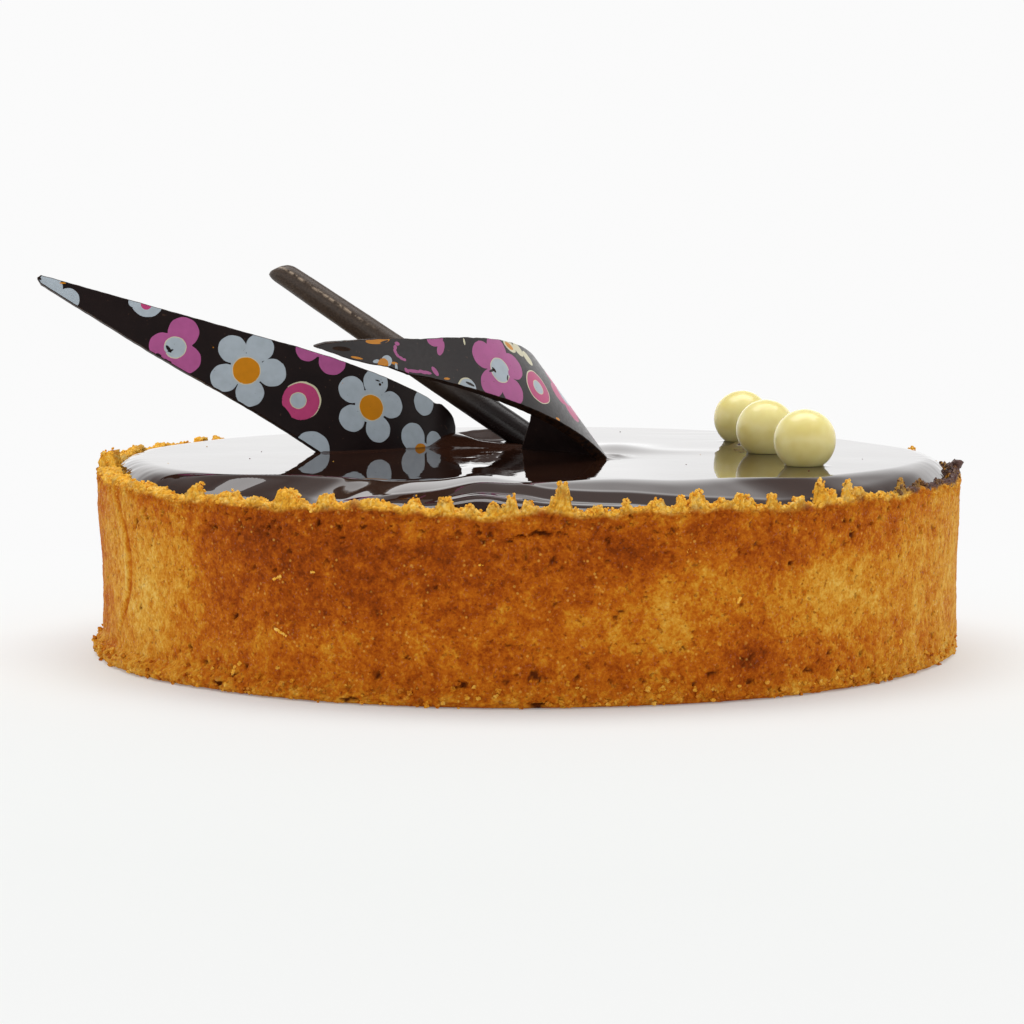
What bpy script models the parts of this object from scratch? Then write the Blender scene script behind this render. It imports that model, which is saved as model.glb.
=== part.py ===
"""A small round chocolate tart, 80 mm across, standing on its flat base.

A baked pastry case with a torn, crumbly rim holds a set chocolate filling with a smooth domed
top. Two thin plates of chocolate, a rolled chocolate stick and three coated pearls stand in it.
Metres, +Z up. The origin is the centre of the case's underside, and +Y points to the back.
"""
import math
import random

import bmesh
import bpy
from mathutils import Matrix, Vector

MM = 0.001
GAP = 0.3 * MM          # air between a piece and what holds it
FULL_TURN = 2.0 * math.pi

# Pastry case
SEGMENTS = 144
FOOT_RADIUS = 40.2 * MM
WALL_RADIUS = 39.75 * MM
TOP_RADIUS = 39.95 * MM
INNER_RADIUS = 38.3 * MM
INNER_SHIFT = 0.25 * MM     # the wall is thicker on the left than on the right
FLOOR_THICKNESS = 3.0 * MM
WALL_WAVES = ((0.15 * MM, 1, -1.57), (0.10 * MM, 3, 0.6), (0.09 * MM, 7, 2.1),
              (0.06 * MM, 13, 4.0))
INNER_WAVES = ((0.14 * MM, 5, 1.3), (0.10 * MM, 11, 0.2), (0.08 * MM, 19, 3.1))

# Torn rim of the case
RIM_HEIGHT = 16.45 * MM
RIM_WAVES = ((0.12 * MM, 9, 0.4), (0.12 * MM, 17, 2.5), (0.10 * MM, 31, 5.1))
RIM_LIFT = 1.1 * MM         # the rim is left higher round the back left
RIM_LIFT_ANGLE = math.radians(155)
RIM_LIFT_SPREAD = math.radians(45)
RIM_FLARE = 0.3             # the lifted rim leans out by this share of its lift
CRUMB_SEED = 12
CRUMB_SHOULDER = 0.35       # share of a crumb's height that its neighbours on the rim reach
SMALL_CRUMBS = 34
SMALL_CRUMB_RISE = (0.2 * MM, 0.7 * MM)
# Tall crumbs: angle round the rim in degrees from +X, and rise above the rim
TALL_CRUMBS = (
    (-137, 1.3), (-122, 1.1), (-116, 0.8), (-104, 0.8), (-101, 1.0), (-92, 1.4), (-87, 2.1),
    (-69, 1.2), (-59, 1.0), (-51, 1.7), (-46, 1.4), (-34, 1.0), (0, 1.1), (180, 1.3),
)

# Chocolate filling
FILLING_TOP = 17.75 * MM
FILLING_CONTACT = 15.9 * MM  # height where the rounded edge meets the pastry
FILLING_ROUND = 2.6 * MM     # width of the rounded edge
FILLING_SLOPE = 12.0 * MM    # width of the edge at the front, where it slopes down slowly
FILLING_SLOPE_ANGLE = math.radians(-90)
FILLING_SLOPE_SPREAD = math.radians(85)
FILLING_FULLNESS = (0.5, 0.9)  # edge's curve: a quarter ellipse round the back, flatter in front
FILLING_DOME = 0.1 * MM      # rise from the end of the rounded edge to the centre
SINK = 1.1 * MM              # how deep the plates and the stick are pushed in

# Both chocolate plates
PLATE_THICKNESS = 0.9 * MM

# Long plate: it stands on edge, leans back, and turns away to the back at its wide end
LONG_TIP = Vector((-46.45, 3.6, 34.2)) * MM
LONG_LENGTH = 42.9 * MM
LONG_STATIONS = 36
LONG_ROWS = 4
LONG_HEADING = math.radians(6.6)
LONG_LEAN = math.radians(15.0)
LONG_BEND_START = 23.5 * MM
LONG_BEND_RADIUS = 22.2 * MM
LONG_TOP_SLOPE = 0.26
LONG_BOTTOM_SLOPE = 0.605
LONG_TIP_WIDTH = 0.6 * MM
LONG_END_ROUND = 3.4 * MM
LONG_END_DROP = 3.0 * MM

# Curled plate: a triangle rolled round a slanting axis, its short side in the filling
CURL_RADIUS = 14.2 * MM
CURL_AXIS_POINT = Vector((-5.96, -4.08, 11.6)) * MM
CURL_AXIS_RISE = math.radians(53.2)
CURL_AXIS_HEADING = math.radians(16.5)
CURL_START = math.radians(56.8)
CURL_FRONT_FOOT = (14.7 * MM, -2.6 * MM)    # along the curl, and along its axis
CURL_TIP = (36.3 * MM, 23.9 * MM)
CURL_TIP_WIDTH = 0.6 * MM
CURL_STATIONS = 26
CURL_ROWS = 10
CURL_FOOT_SAG = 1.7 * MM    # the foot's edge bows down as much as the curl lifts its middle

# Rolled stick
STICK_FOOT = Vector((0.7, 11.5, 17.7)) * MM
STICK_TOP = Vector((-24.75, 15.0, 34.7)) * MM
STICK_FOOT_RADIUS = 1.36 * MM
STICK_TOP_RADIUS = 1.1 * MM
STICK_SIDES = 20
STICK_END_SHEAR = 0.6       # slant of the broken top end
STICK_END_ROUND = 0.45 * MM
STICK_BURIED = 2.6 * MM

# Pearls: name, diameter in mm, and where each one sits
PEARL_SINK = 0.5 * MM
PEARL_RINGS = 13
PEARL_SIDES = 24
PEARLS = (
    ("pearl_front", 5.65, 24.6, -11.4),
    ("pearl_middle", 5.6, 22.0, 2.4),
    ("pearl_back", 5.5, 20.6, 16.9),
)


def clear_scene():
    for item in list(bpy.data.objects):
        bpy.data.objects.remove(item, do_unlink=True)


def make_material(name, colour, roughness):
    material = bpy.data.materials.new(name)
    material.use_nodes = True
    shader = material.node_tree.nodes["Principled BSDF"]
    shader.inputs["Base Color"].default_value = (*colour, 1.0)
    shader.inputs["Roughness"].default_value = roughness
    shader.inputs["Metallic"].default_value = 0.0
    return material


def add_object(name, shape, material=None):
    """Turns a bmesh into a smooth-shaded object with sharp creases kept."""
    bmesh.ops.recalc_face_normals(shape, faces=shape.faces)
    mesh = bpy.data.meshes.new(name)
    shape.to_mesh(mesh)
    shape.free()
    mesh.shade_smooth()
    mesh.set_sharp_from_angle(angle=math.radians(40))
    if material:
        mesh.materials.append(material)
    item = bpy.data.objects.new(name, mesh)
    bpy.context.scene.collection.objects.link(item)
    return item


def wave(angle, terms):
    return sum(size * math.sin(count * angle + phase) for size, count, phase in terms)


def bump(angle, centre, spread):
    """1 at the centre angle, falling smoothly to 0 at the spread on each side."""
    away = abs((angle - centre + math.pi) % FULL_TURN - math.pi)
    if away >= spread:
        return 0.0
    return 0.5 + 0.5 * math.cos(math.pi * away / spread)


def crumb_rises():
    """The rise of the crumbs on the rim, one for each segment of the case."""
    dice = random.Random(CRUMB_SEED)
    rises = [0.0] * SEGMENTS
    crumbs = [(dice.randrange(SEGMENTS), dice.uniform(*SMALL_CRUMB_RISE))
              for _ in range(SMALL_CRUMBS)]
    crumbs += [(round(degrees / 360 * SEGMENTS) % SEGMENTS, rise * MM)
               for degrees, rise in TALL_CRUMBS]
    for place, rise in crumbs:
        for step, share in ((0, 1.0), (-1, CRUMB_SHOULDER), (1, CRUMB_SHOULDER)):
            spot = (place + step) % SEGMENTS
            rises[spot] = max(rises[spot], rise * share)
    return rises


def inner_radius(angle):
    return INNER_RADIUS + INNER_SHIFT * math.cos(angle) + wave(angle, INNER_WAVES)


def case_profile(angle, crumb):
    """Radius and height of the case's section, from the edge of its base over the rim and in."""
    sway = wave(angle, WALL_WAVES)
    lift = RIM_LIFT * bump(angle, RIM_LIFT_ANGLE, RIM_LIFT_SPREAD)
    rim = RIM_HEIGHT + wave(angle, RIM_WAVES) + lift
    top = TOP_RADIUS + sway
    edge = top + RIM_FLARE * lift
    inner = inner_radius(angle)
    crest = 0.45 * edge + 0.55 * inner
    return (
        (FOOT_RADIUS - 0.7 * MM + sway, 0.0),
        (FOOT_RADIUS + sway, 0.7 * MM),
        (FOOT_RADIUS - 0.05 * MM + sway, 1.5 * MM),
        (WALL_RADIUS - 0.1 * MM + sway, 2.2 * MM),
        (WALL_RADIUS + sway, 3.6 * MM),
        (WALL_RADIUS + sway, 8.0 * MM),
        (top, 13.0 * MM),
        (edge, rim - 0.8 * MM),
        (edge - 0.3 * MM, rim - 0.15 * MM + 0.6 * crumb),
        (crest, rim + crumb),
        (inner + 0.15 * MM, rim - 0.5 * MM),
        (inner, FLOOR_THICKNESS + 1.2 * MM),
        (inner - 1.2 * MM, FLOOR_THICKNESS),
    )


def filling_profile(angle):
    """Radius and height of the filling's section, from its underside up and over the top."""
    side = inner_radius(angle) - GAP
    points = [
        (side - 1.5 * MM, FLOOR_THICKNESS + GAP),
        (side, FLOOR_THICKNESS + GAP + 1.5 * MM),
        (side, FILLING_CONTACT),
    ]
    front = bump(angle, FILLING_SLOPE_ANGLE, FILLING_SLOPE_SPREAD)
    width = FILLING_ROUND + (FILLING_SLOPE - FILLING_ROUND) * front
    fullness = FILLING_FULLNESS[0] + (FILLING_FULLNESS[1] - FILLING_FULLNESS[0]) * front
    rise = FILLING_TOP - FILLING_DOME - FILLING_CONTACT
    for turn in (0.35, 0.65, 1.0):
        inward = 1 - math.cos(turn * math.pi / 2)
        points.append((side - width * inward,
                       FILLING_CONTACT + rise * (1 - (1 - inward) ** 2) ** fullness))
    points.append((side * 0.5, FILLING_TOP - 0.25 * FILLING_DOME))
    return points


def turned(sections):
    """Sets sections of radius and height evenly round the Z axis, as columns of points."""
    columns = []
    for index, section in enumerate(sections):
        angle = FULL_TURN * index / len(sections)
        columns.append([(radius * math.cos(angle), radius * math.sin(angle), height)
                        for radius, height in section])
    return columns


def round_body(columns):
    """Joins columns of points that stand round an axis, with flat caps over both ends."""
    shape = bmesh.new()
    columns = [[shape.verts.new(point) for point in column] for column in columns]
    for index, column in enumerate(columns):
        following = columns[(index + 1) % len(columns)]
        for level in range(len(column) - 1):
            shape.faces.new((column[level], following[level],
                             following[level + 1], column[level + 1]))
    shape.faces.new([column[0] for column in reversed(columns)])
    shape.faces.new([column[-1] for column in columns])
    return shape


def make_case(material):
    rises = crumb_rises()
    sections = [case_profile(FULL_TURN * index / SEGMENTS, rises[index])
                for index in range(SEGMENTS)]
    return add_object("pastry_case", round_body(turned(sections)), material)


def make_filling(material, cutters):
    sections = [filling_profile(FULL_TURN * index / SEGMENTS) for index in range(SEGMENTS)]
    filling = add_object("chocolate_filling", round_body(turned(sections)), material)
    for cutter in cutters:
        cut = filling.modifiers.new(cutter.name, "BOOLEAN")
        cut.operation = "DIFFERENCE"
        cut.object = cutter
    return filling


def plate_shape(plan, place, near, far):
    """Closes a thin plate over a grid of flat plan points, between two depths.

    place(along, across, depth) carries a plan point and a depth to where the bent plate has it.
    """
    shape = bmesh.new()
    sides = [[[shape.verts.new(place(along, across, depth)) for along, across in row]
              for row in plan] for depth in (near, far)]
    for side in sides:
        for row, above in zip(side, side[1:]):
            for index in range(len(row) - 1):
                shape.faces.new((row[index], row[index + 1], above[index + 1], above[index]))
    outlines = []
    for side in sides:
        outline = list(side[0])
        outline += [row[-1] for row in side[1:]]
        outline += list(reversed(side[-1]))[1:]
        outline += [row[0] for row in reversed(side[1:-1])]
        outlines.append(outline)
    near_edge, far_edge = outlines
    for index, corner in enumerate(near_edge):
        nearer = near_edge[index - 1]
        shape.faces.new((nearer, corner, far_edge[index], far_edge[index - 1]))
    return shape


def long_bend(along):
    """Where the long plate's plan curve is after a length from the tip, and its heading."""
    straight = min(along, LONG_BEND_START)
    turn = (along - straight) / LONG_BEND_RADIUS
    heading = LONG_HEADING + turn
    x = straight * math.cos(LONG_HEADING)
    y = straight * math.sin(LONG_HEADING)
    x += LONG_BEND_RADIUS * (math.sin(heading) - math.sin(LONG_HEADING))
    y += LONG_BEND_RADIUS * (math.cos(LONG_HEADING) - math.cos(heading))
    return x, y, heading


def long_place(along, across, depth):
    x, y, heading = long_bend(along)
    return (x - depth * math.sin(heading), y + depth * math.cos(heading), across)


def long_plan(margin):
    """Rows of plan points from the tip to the wide end: a blade cut off along the filling."""
    rows = []
    last = LONG_LENGTH + margin
    buried = FILLING_TOP - SINK - margin
    for index in range(LONG_STATIONS + 1):
        along = last * (1 - (1 - index / LONG_STATIONS) ** 1.25)
        top = LONG_TIP_WIDTH / 2 - LONG_TOP_SLOPE * along
        into_end = max(0.0, along - last + LONG_END_ROUND) / LONG_END_ROUND
        top -= LONG_END_DROP * (1 - math.sqrt(max(0.0, 1 - into_end ** 2)))
        set_back = long_bend(along)[1] * math.sin(LONG_LEAN)
        lowest = (buried - LONG_TIP.z + set_back) / math.cos(LONG_LEAN)
        bottom = max(-LONG_TIP_WIDTH / 2 - LONG_BOTTOM_SLOPE * along, lowest)
        bottom -= margin
        top += margin
        rows.append([(along, bottom + (top - bottom) * step / LONG_ROWS)
                     for step in range(LONG_ROWS + 1)])
    return rows


def make_long_plate(name, material, margin):
    shape = plate_shape(long_plan(margin), long_place, -margin, PLATE_THICKNESS + margin)
    plate = add_object(name, shape, material)
    plate.location = LONG_TIP
    plate.rotation_euler.x = -LONG_LEAN
    return plate


def curl_place(along, across, depth):
    angle = CURL_START - along / CURL_RADIUS
    radius = CURL_RADIUS - depth
    return (radius * math.cos(angle), radius * math.sin(angle), across)


def curl_plan(margin):
    """Rows of plan points from the buried foot to the tip of the triangle."""
    tip = Vector(CURL_TIP)
    feet = (Vector((0.0, 0.0)), Vector(CURL_FRONT_FOOT))
    buried = [foot + (foot - tip).normalized() * (SINK + margin) for foot in feet]
    spread = (feet[1] - feet[0]).normalized() * margin
    blunt = (feet[1] + feet[0] - 2 * tip).orthogonal().normalized() * CURL_TIP_WIDTH / 2
    back_foot = buried[0] - spread
    front_foot = buried[1] + spread
    rows = []
    for index in range(CURL_STATIONS + 1):
        climb = index / CURL_STATIONS
        back = back_foot.lerp(tip - blunt - spread, climb)
        front = front_foot.lerp(tip + blunt + spread, climb)
        row = []
        for step in range(CURL_ROWS + 1):
            share = step / CURL_ROWS
            point = back.lerp(front, share)
            point.y -= CURL_FOOT_SAG * 4 * share * (1 - share) * (1 - climb) ** 3
            row.append(tuple(point))
        rows.append(row)
    return rows


def curl_matrix():
    """The curl's frame: Z along its axis, X level with the side that faces right and up."""
    level = math.cos(CURL_AXIS_RISE)
    axis = Vector((-level * math.cos(CURL_AXIS_HEADING), -level * math.sin(CURL_AXIS_HEADING),
                   math.sin(CURL_AXIS_RISE)))
    side = Vector((0.0, 1.0, 0.0)).cross(axis).normalized()
    turn = Matrix((side, axis.cross(side), axis)).transposed()
    return Matrix.Translation(CURL_AXIS_POINT) @ turn.to_4x4()


def make_curled_plate(name, material, margin):
    shape = plate_shape(curl_plan(margin), curl_place, -margin, PLATE_THICKNESS + margin)
    plate = add_object(name, shape, material)
    plate.matrix_world = curl_matrix()
    return plate


def make_stick(name, material, margin):
    """A tapered round stick from its buried foot to a rounded, slanting top end."""
    length = (STICK_TOP - STICK_FOOT).length
    stations = [
        (-STICK_BURIED - margin, STICK_FOOT_RADIUS + margin, 0.0),
        (0.0, STICK_FOOT_RADIUS + margin, 0.0),
        (length - 3 * STICK_TOP_RADIUS, STICK_TOP_RADIUS * 1.03 + margin, 0.0),
        (length - STICK_END_ROUND, STICK_TOP_RADIUS + margin, 1.0),
        (length, STICK_TOP_RADIUS - STICK_END_ROUND, 1.0),
    ]
    columns = []
    for index in range(STICK_SIDES):
        angle = FULL_TURN * index / STICK_SIDES
        columns.append([(radius * math.cos(angle), radius * math.sin(angle),
                         height + slant * STICK_END_SHEAR * radius * math.cos(angle))
                        for height, radius, slant in stations])
    stick = add_object(name, round_body(columns), material)
    direction = (STICK_TOP - STICK_FOOT).normalized()
    low_side = direction.cross(Vector((0.0, 1.0, 0.0))).normalized()
    turn = Matrix((low_side, direction.cross(low_side), direction)).transposed()
    stick.matrix_world = Matrix.Translation(STICK_FOOT) @ turn.to_4x4()
    return stick


def make_pearl(name, material, diameter, x, y, margin):
    radius = diameter / 2
    shape = bmesh.new()
    bmesh.ops.create_uvsphere(shape, u_segments=PEARL_SIDES, v_segments=PEARL_RINGS,
                              radius=radius + margin)
    pearl = add_object(name, shape, material)
    pearl.location = (x, y, FILLING_TOP - PEARL_SINK + radius)
    return pearl


def as_cutter(item):
    item.hide_render = True
    item.display_type = "WIRE"
    return item


def build():
    clear_scene()
    pastry = make_material("baked_pastry", (0.60, 0.31, 0.08), 0.8)
    glaze = make_material("dark_glaze", (0.030, 0.014, 0.010), 0.08)
    plate = make_material("printed_chocolate", (0.028, 0.016, 0.014), 0.3)
    rolled = make_material("rolled_chocolate", (0.06, 0.045, 0.04), 0.4)
    ivory = make_material("ivory_coating", (0.82, 0.74, 0.42), 0.25)

    make_case(pastry)
    make_long_plate("long_plate", plate, 0.0)
    make_curled_plate("curled_plate", plate, 0.0)
    make_stick("chocolate_stick", rolled, 0.0)
    cutters = [
        make_long_plate("long_plate_pocket", None, GAP),
        make_curled_plate("curled_plate_pocket", None, GAP),
        make_stick("chocolate_stick_pocket", None, GAP),
    ]
    for name, diameter, x, y in PEARLS:
        make_pearl(name, ivory, diameter * MM, x * MM, y * MM, 0.0)
        cutters.append(make_pearl(name + "_pocket", None, diameter * MM, x * MM, y * MM, GAP))
    make_filling(glaze, [as_cutter(cutter) for cutter in cutters])


build()
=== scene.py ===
"""The looks of the small chocolate tart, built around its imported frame.

The pastry case is a fine mesh with pits, cracks and a torn rim, and the glaze, the two printed
plates, the rolled stick and the pearls are fine meshes in the places that the frame gives them.
Lengths are in metres, written as millimetres times MM. +Z is up and +Y is the back.
"""

import math
import random

import bmesh
import bpy
import numpy as np
from mathutils import Matrix, Vector, noise
from mathutils.geometry import delaunay_2d_cdt


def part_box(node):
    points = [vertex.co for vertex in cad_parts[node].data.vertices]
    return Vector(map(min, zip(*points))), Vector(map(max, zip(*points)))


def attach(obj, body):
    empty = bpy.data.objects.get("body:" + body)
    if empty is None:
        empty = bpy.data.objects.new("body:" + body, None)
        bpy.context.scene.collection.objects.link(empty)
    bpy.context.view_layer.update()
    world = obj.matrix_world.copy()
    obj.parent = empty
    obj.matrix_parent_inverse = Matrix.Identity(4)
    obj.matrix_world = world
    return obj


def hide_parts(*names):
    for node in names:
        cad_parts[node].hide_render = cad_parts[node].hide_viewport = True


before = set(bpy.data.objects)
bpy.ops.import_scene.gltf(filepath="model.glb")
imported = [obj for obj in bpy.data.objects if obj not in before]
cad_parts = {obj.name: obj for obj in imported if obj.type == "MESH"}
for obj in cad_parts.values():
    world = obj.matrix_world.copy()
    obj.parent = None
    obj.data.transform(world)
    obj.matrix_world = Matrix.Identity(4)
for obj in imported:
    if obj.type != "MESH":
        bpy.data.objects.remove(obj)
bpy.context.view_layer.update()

MM = 0.001
FULL_TURN = 2.0 * math.pi
BODY = "root"

# ---------------------------------------------------------------- sizes shared with the frame

# Pastry case
FOOT_RADIUS = 40.2 * MM
WALL_RADIUS = 39.75 * MM
TOP_RADIUS = 39.95 * MM
INNER_RADIUS = 38.3 * MM
INNER_SHIFT = 0.25 * MM
FLOOR_THICKNESS = 3.0 * MM
WALL_WAVES = ((0.15 * MM, 1, -1.57), (0.10 * MM, 3, 0.6), (0.09 * MM, 7, 2.1),
              (0.06 * MM, 13, 4.0))
INNER_WAVES = ((0.14 * MM, 5, 1.3), (0.10 * MM, 11, 0.2), (0.08 * MM, 19, 3.1))
RIM_HEIGHT = 16.45 * MM
RIM_WAVES = ((0.12 * MM, 9, 0.4), (0.12 * MM, 17, 2.5), (0.10 * MM, 31, 5.1))
RIM_LIFT = 0.85 * MM
RIM_LIFT_ANGLE = math.radians(167)
RIM_LIFT_SPREAD = math.radians(50)
RIM_FLARE = 0.15

# Filling
FILLING_TOP = 17.75 * MM
FILLING_ROUND = 2.6 * MM
FILLING_SLOPE_ANGLE = math.radians(-90)
FILLING_SLOPE_SPREAD = math.radians(85)
SINK = 1.1 * MM
CLEARANCE = 0.3 * MM             # gap between the filling and the pastry's floor

# Plates
PLATE_THICKNESS = 0.9 * MM
LONG_TIP = Vector((-46.45, 3.6, 34.2)) * MM
LONG_LENGTH = 42.55 * MM
LONG_HEADING = math.radians(6.6)
LONG_LEAN = math.radians(15.0)
LONG_BEND_START = 23.5 * MM
LONG_BEND_RADIUS = 22.2 * MM
LONG_TOP_SLOPE = 0.26
LONG_BOTTOM_SLOPE = 0.605
LONG_TIP_WIDTH = 0.72 * MM
LONG_BELLY = 0.47 * MM          # the lower edge bends up by this before its middle
LONG_END_ROUND = 1.7 * MM
LONG_END_DROP = 1.2 * MM
LONG_END_CHIPS = ((39.4, 0.5, -0.18), (40.4, 0.4, 0.12))   # along, half width and rise in mm
LONG_FOOT = (27.3 * MM, 42.9 * MM)  # where it enters the glaze, from the tip
CURL_RADIUS = 14.2 * MM
CURL_AXIS_POINT = Vector((-5.96, -4.08, 11.6)) * MM
CURL_AXIS_RISE = math.radians(53.2)
CURL_AXIS_HEADING = math.radians(16.5)
CURL_START = math.radians(56.8)
CURL_FRONT_FOOT = Vector((14.7, -2.6)) * MM
CURL_TIP = Vector((36.3, 23.9)) * MM
# Its edge round the tip: along and across in mm
CURL_TIP_EDGE = (
    (30.08, 15.96), (31.38, 17.35), (32.45, 18.97), (33.71, 20.28), (34.86, 21.7), (35.89, 23.25),
    (36.75, 24.5), (35.68, 24.12), (33.88, 23.02), (31.78, 21.62), (28.5, 19.12),
)
CURL_FOOT_SAG = 1.7 * MM

# Stick and pearls
STICK_FOOT = Vector((0.7, 11.5, 17.7)) * MM
STICK_TOP = Vector((-24.75, 15.0, 34.7)) * MM
STICK_FOOT_RADIUS = 1.36 * MM
STICK_TOP_RADIUS = 1.1 * MM
STICK_END_SHEAR = 0.6
STICK_BURIED = 2.6 * MM
STICK_SEAM = 2.04               # radians round the stick, of its seam's ridge and of a painted highlight along it
STICK_SIDES = 64
STICK_STATIONS = 170
PEARL_SINK = 0.5 * MM
PEARLS = ("pearl_front", "pearl_middle", "pearl_back")

# ---------------------------------------------------------------- fine detail of the pastry

WALL_COLUMNS = 1080
RIM_COLUMNS = 1800
RIM_START = 14.1 * MM           # height where the finer mesh of the rim takes over
FOOT_SHIFT = 0.6 * MM           # the foot spreads more at the left than at the right
WALL_SHIFT = 0.13 * MM
CRUST_SEED = 7
# Crumbs that stand up from the rim: degrees round the rim from +X, rise above the rim, width and
# lean to the right as seen from outside, all in mm
RIM_PEAKS = (
    (-160, 0.35, 2, 0), (-150, 0.3, 1.6, 0), (-138, 1.25, 0.9, 0.7), (-131, 0.55, 1.6, 0.1),
    (-126.5, 0.3, 1.2, 0), (-121.2, 1.15, 2, 0), (-115.8, 0.9, 1.2, 0), (-109.5, 0.3, 1.6, 0),
    (-104.5, 0.85, 0.9, 0.1), (-100.6, 1, 0.9, 0.2), (-97.5, 0.4, 1, 0), (-94.6, 0.75, 0.8, 0),
    (-92.5, 1.35, 0.9, 0), (-90.5, 0.7, 0.9, 0.1), (-86.3, 2.15, 1.2, 0), (-82, 0.35, 0.7, 0),
    (-78.5, 0.75, 0.6, 0), (-74.5, 0.65, 1, 0), (-71.5, 0.9, 0.5, 0), (-69.4, 1.3, 1, 0),
    (-66, 0.3, 0.9, 0), (-63.2, 0.75, 1.4, 0), (-59, 1, 0.9, 0), (-55, 0.6, 1, 0), (-51, 1.75, 1.1, 0),
    (-49, 0.9, 0.7, 0), (-46.3, 1.5, 0.7, 0.1), (-44.3, 0.7, 0.9, 0), (-34.6, 1, 1.2, 0.4),
    (-29, 0.35, 1.4, 0), (-22, 0.3, 1, 0), (0, 0.3, 1.5, 0), (19.5, 0.9, 0.5, 0), (44, 0.6, 0.9, 0),
    (67, 0.7, 0.8, 0), (88, 0.5, 1, 0), (103, 0.7, 0.8, 0), (121, 0.4, 1.2, 0), (143, 0.55, 1.2, 0),
    (146.5, 0.62, 0.9, 0), (150, 0.5, 1.4, 0), (153.5, 0.4, 1.1, 0), (157, 0.35, 1.6, 0),
    (165, 0.15, 1.4, 0), (174, 0.2, 1.6, 0), (-173, 1.6, 0.6, -0.3),
)
SMALL_PITS = 1750
# The larger holes and cracks: degrees, height, half length, half height, depth, in mm
LARGE_PITS = (
    (-88.9, 14.6, 1.3, 0.26, 0.8), (-91.4, 14.35, 0.7, 0.2, 0.6), (-92.6, 14, 0.5, 0.16, 0.5),
    (-86.4, 14.6, 0.7, 0.13, 0.4), (-85.6, 15.4, 0.45, 0.22, 0.35), (-79.5, 15, 0.5, 0.25, 0.35),
    (-78, 15.3, 0.35, 0.18, 0.3), (-75, 14.6, 0.5, 0.2, 0.3), (-72.8, 14.7, 0.35, 0.3, 0.35),
    (-116.4, 15, 0.3, 0.42, 0.6), (-113.6, 14.8, 0.5, 0.33, 0.45), (-110.4, 14.9, 0.5, 0.2, 0.4),
    (-107, 15, 0.35, 0.16, 0.35), (-103, 14.7, 0.5, 0.2, 0.35), (-98.6, 14.6, 0.6, 0.3, 0.3),
    (-96.5, 15.2, 0.4, 0.2, 0.3), (-126.9, 15, 0.8, 0.16, 0.35), (-130.6, 15.3, 0.5, 0.14, 0.3),
    (-122.6, 10.9, 0.22, 0.22, 0.4), (-127, 10.4, 0.16, 0.2, 0.3), (-122, 14.4, 0.45, 0.2, 0.35),
    (-119.3, 14, 0.3, 0.2, 0.3), (-108.8, 2.5, 0.5, 0.45, 0.55), (-98.4, 1.95, 0.7, 0.4, 0.5),
    (-89.6, 2.7, 0.85, 0.6, 0.45), (-93, 2.3, 0.5, 0.3, 0.35), (-84.5, 2.5, 0.35, 0.35, 0.35),
    (-76.3, 2.2, 0.5, 0.25, 0.35), (-73, 2.2, 0.9, 0.18, 0.3), (-67.6, 2.5, 0.7, 0.3, 0.5),
    (-80.5, 2.2, 0.4, 0.3, 0.3), (-89, 0.3, 1.2, 0.45, 0.7), (-112, 0.4, 1.3, 0.35, 0.6),
    (-76.8, 5.3, 1.2, 0.12, 0.22), (-74, 4.8, 0.6, 0.16, 0.25), (-92.6, 5.3, 0.55, 0.16, 0.35),
    (-94.4, 7.3, 0.5, 0.16, 0.25), (-93.4, 6.2, 0.45, 0.1, 0.2), (-49.5, 12.7, 0.2, 0.14, 0.3),
    (-49.3, 10.6, 0.25, 0.14, 0.3), (-45, 8, 0.25, 0.3, 0.3), (-44.8, 6.6, 0.25, 0.2, 0.3),
    (-35.9, 15.2, 0.45, 0.35, 0.4), (-40.5, 14.5, 0.5, 0.3, 0.3), (-53.5, 2.1, 0.7, 0.25, 0.45),
    (-62.4, 1.6, 0.6, 0.25, 0.4), (-59, 2, 0.4, 0.2, 0.3), (-135, 2.3, 0.4, 0.25, 0.5),
    (-129.5, 1.6, 0.6, 0.25, 0.5), (-131.6, 0.8, 0.9, 0.3, 0.5), (-127.6, 2.4, 0.35, 0.3, 0.4),
    (-145, 3.2, 0.3, 0.12, 0.3), (118, 14.4, 1.2, 0.3, 0.55), (62, 14.8, 1.4, 0.25, 0.5),
    (84, 2.4, 0.9, 0.3, 0.5), (140, 2.3, 0.7, 0.3, 0.5), (33, 2.2, 0.9, 0.3, 0.5),
    (97, 9, 0.35, 0.2, 0.35), (24, 11.5, 0.3, 0.2, 0.35), (151, 7, 0.4, 0.15, 0.3),
)
# Paler, golden areas of the wall: degrees, height, half width, half height in mm, strength
GOLDEN_AREAS = (
    (-136.5, 9, 3.6, 4.5, 0.17), (-153, 8, 9, 10, 0.34), (-146, 9, 4, 4.5, 0.25), (-143, 4.5, 5, 2, 0.12),
    (-82, 7.5, 5.5, 2.4, 0.2), (-70, 8.2, 5.5, 3.2, 0.28), (-75, 5.2, 4, 1.8, 0.14),
    (-50, 9.5, 7.5, 4, 0.32), (-52, 6, 7, 3, 0.16), (-34, 8, 9, 9, 0.3), (-14, 8, 9, 10, 0.3),
    (-118, 4.6, 5, 2.4, 0.16), (-121, 8.6, 2.6, 1.3, 0.12), (-103, 5.5, 5, 2, 0.1), (20, 8, 9, 6, 0.3),
    (66, 7, 9, 5, 0.28), (112, 6, 9, 5, 0.24), (150, 8, 9, 7, 0.32),
)
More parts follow.
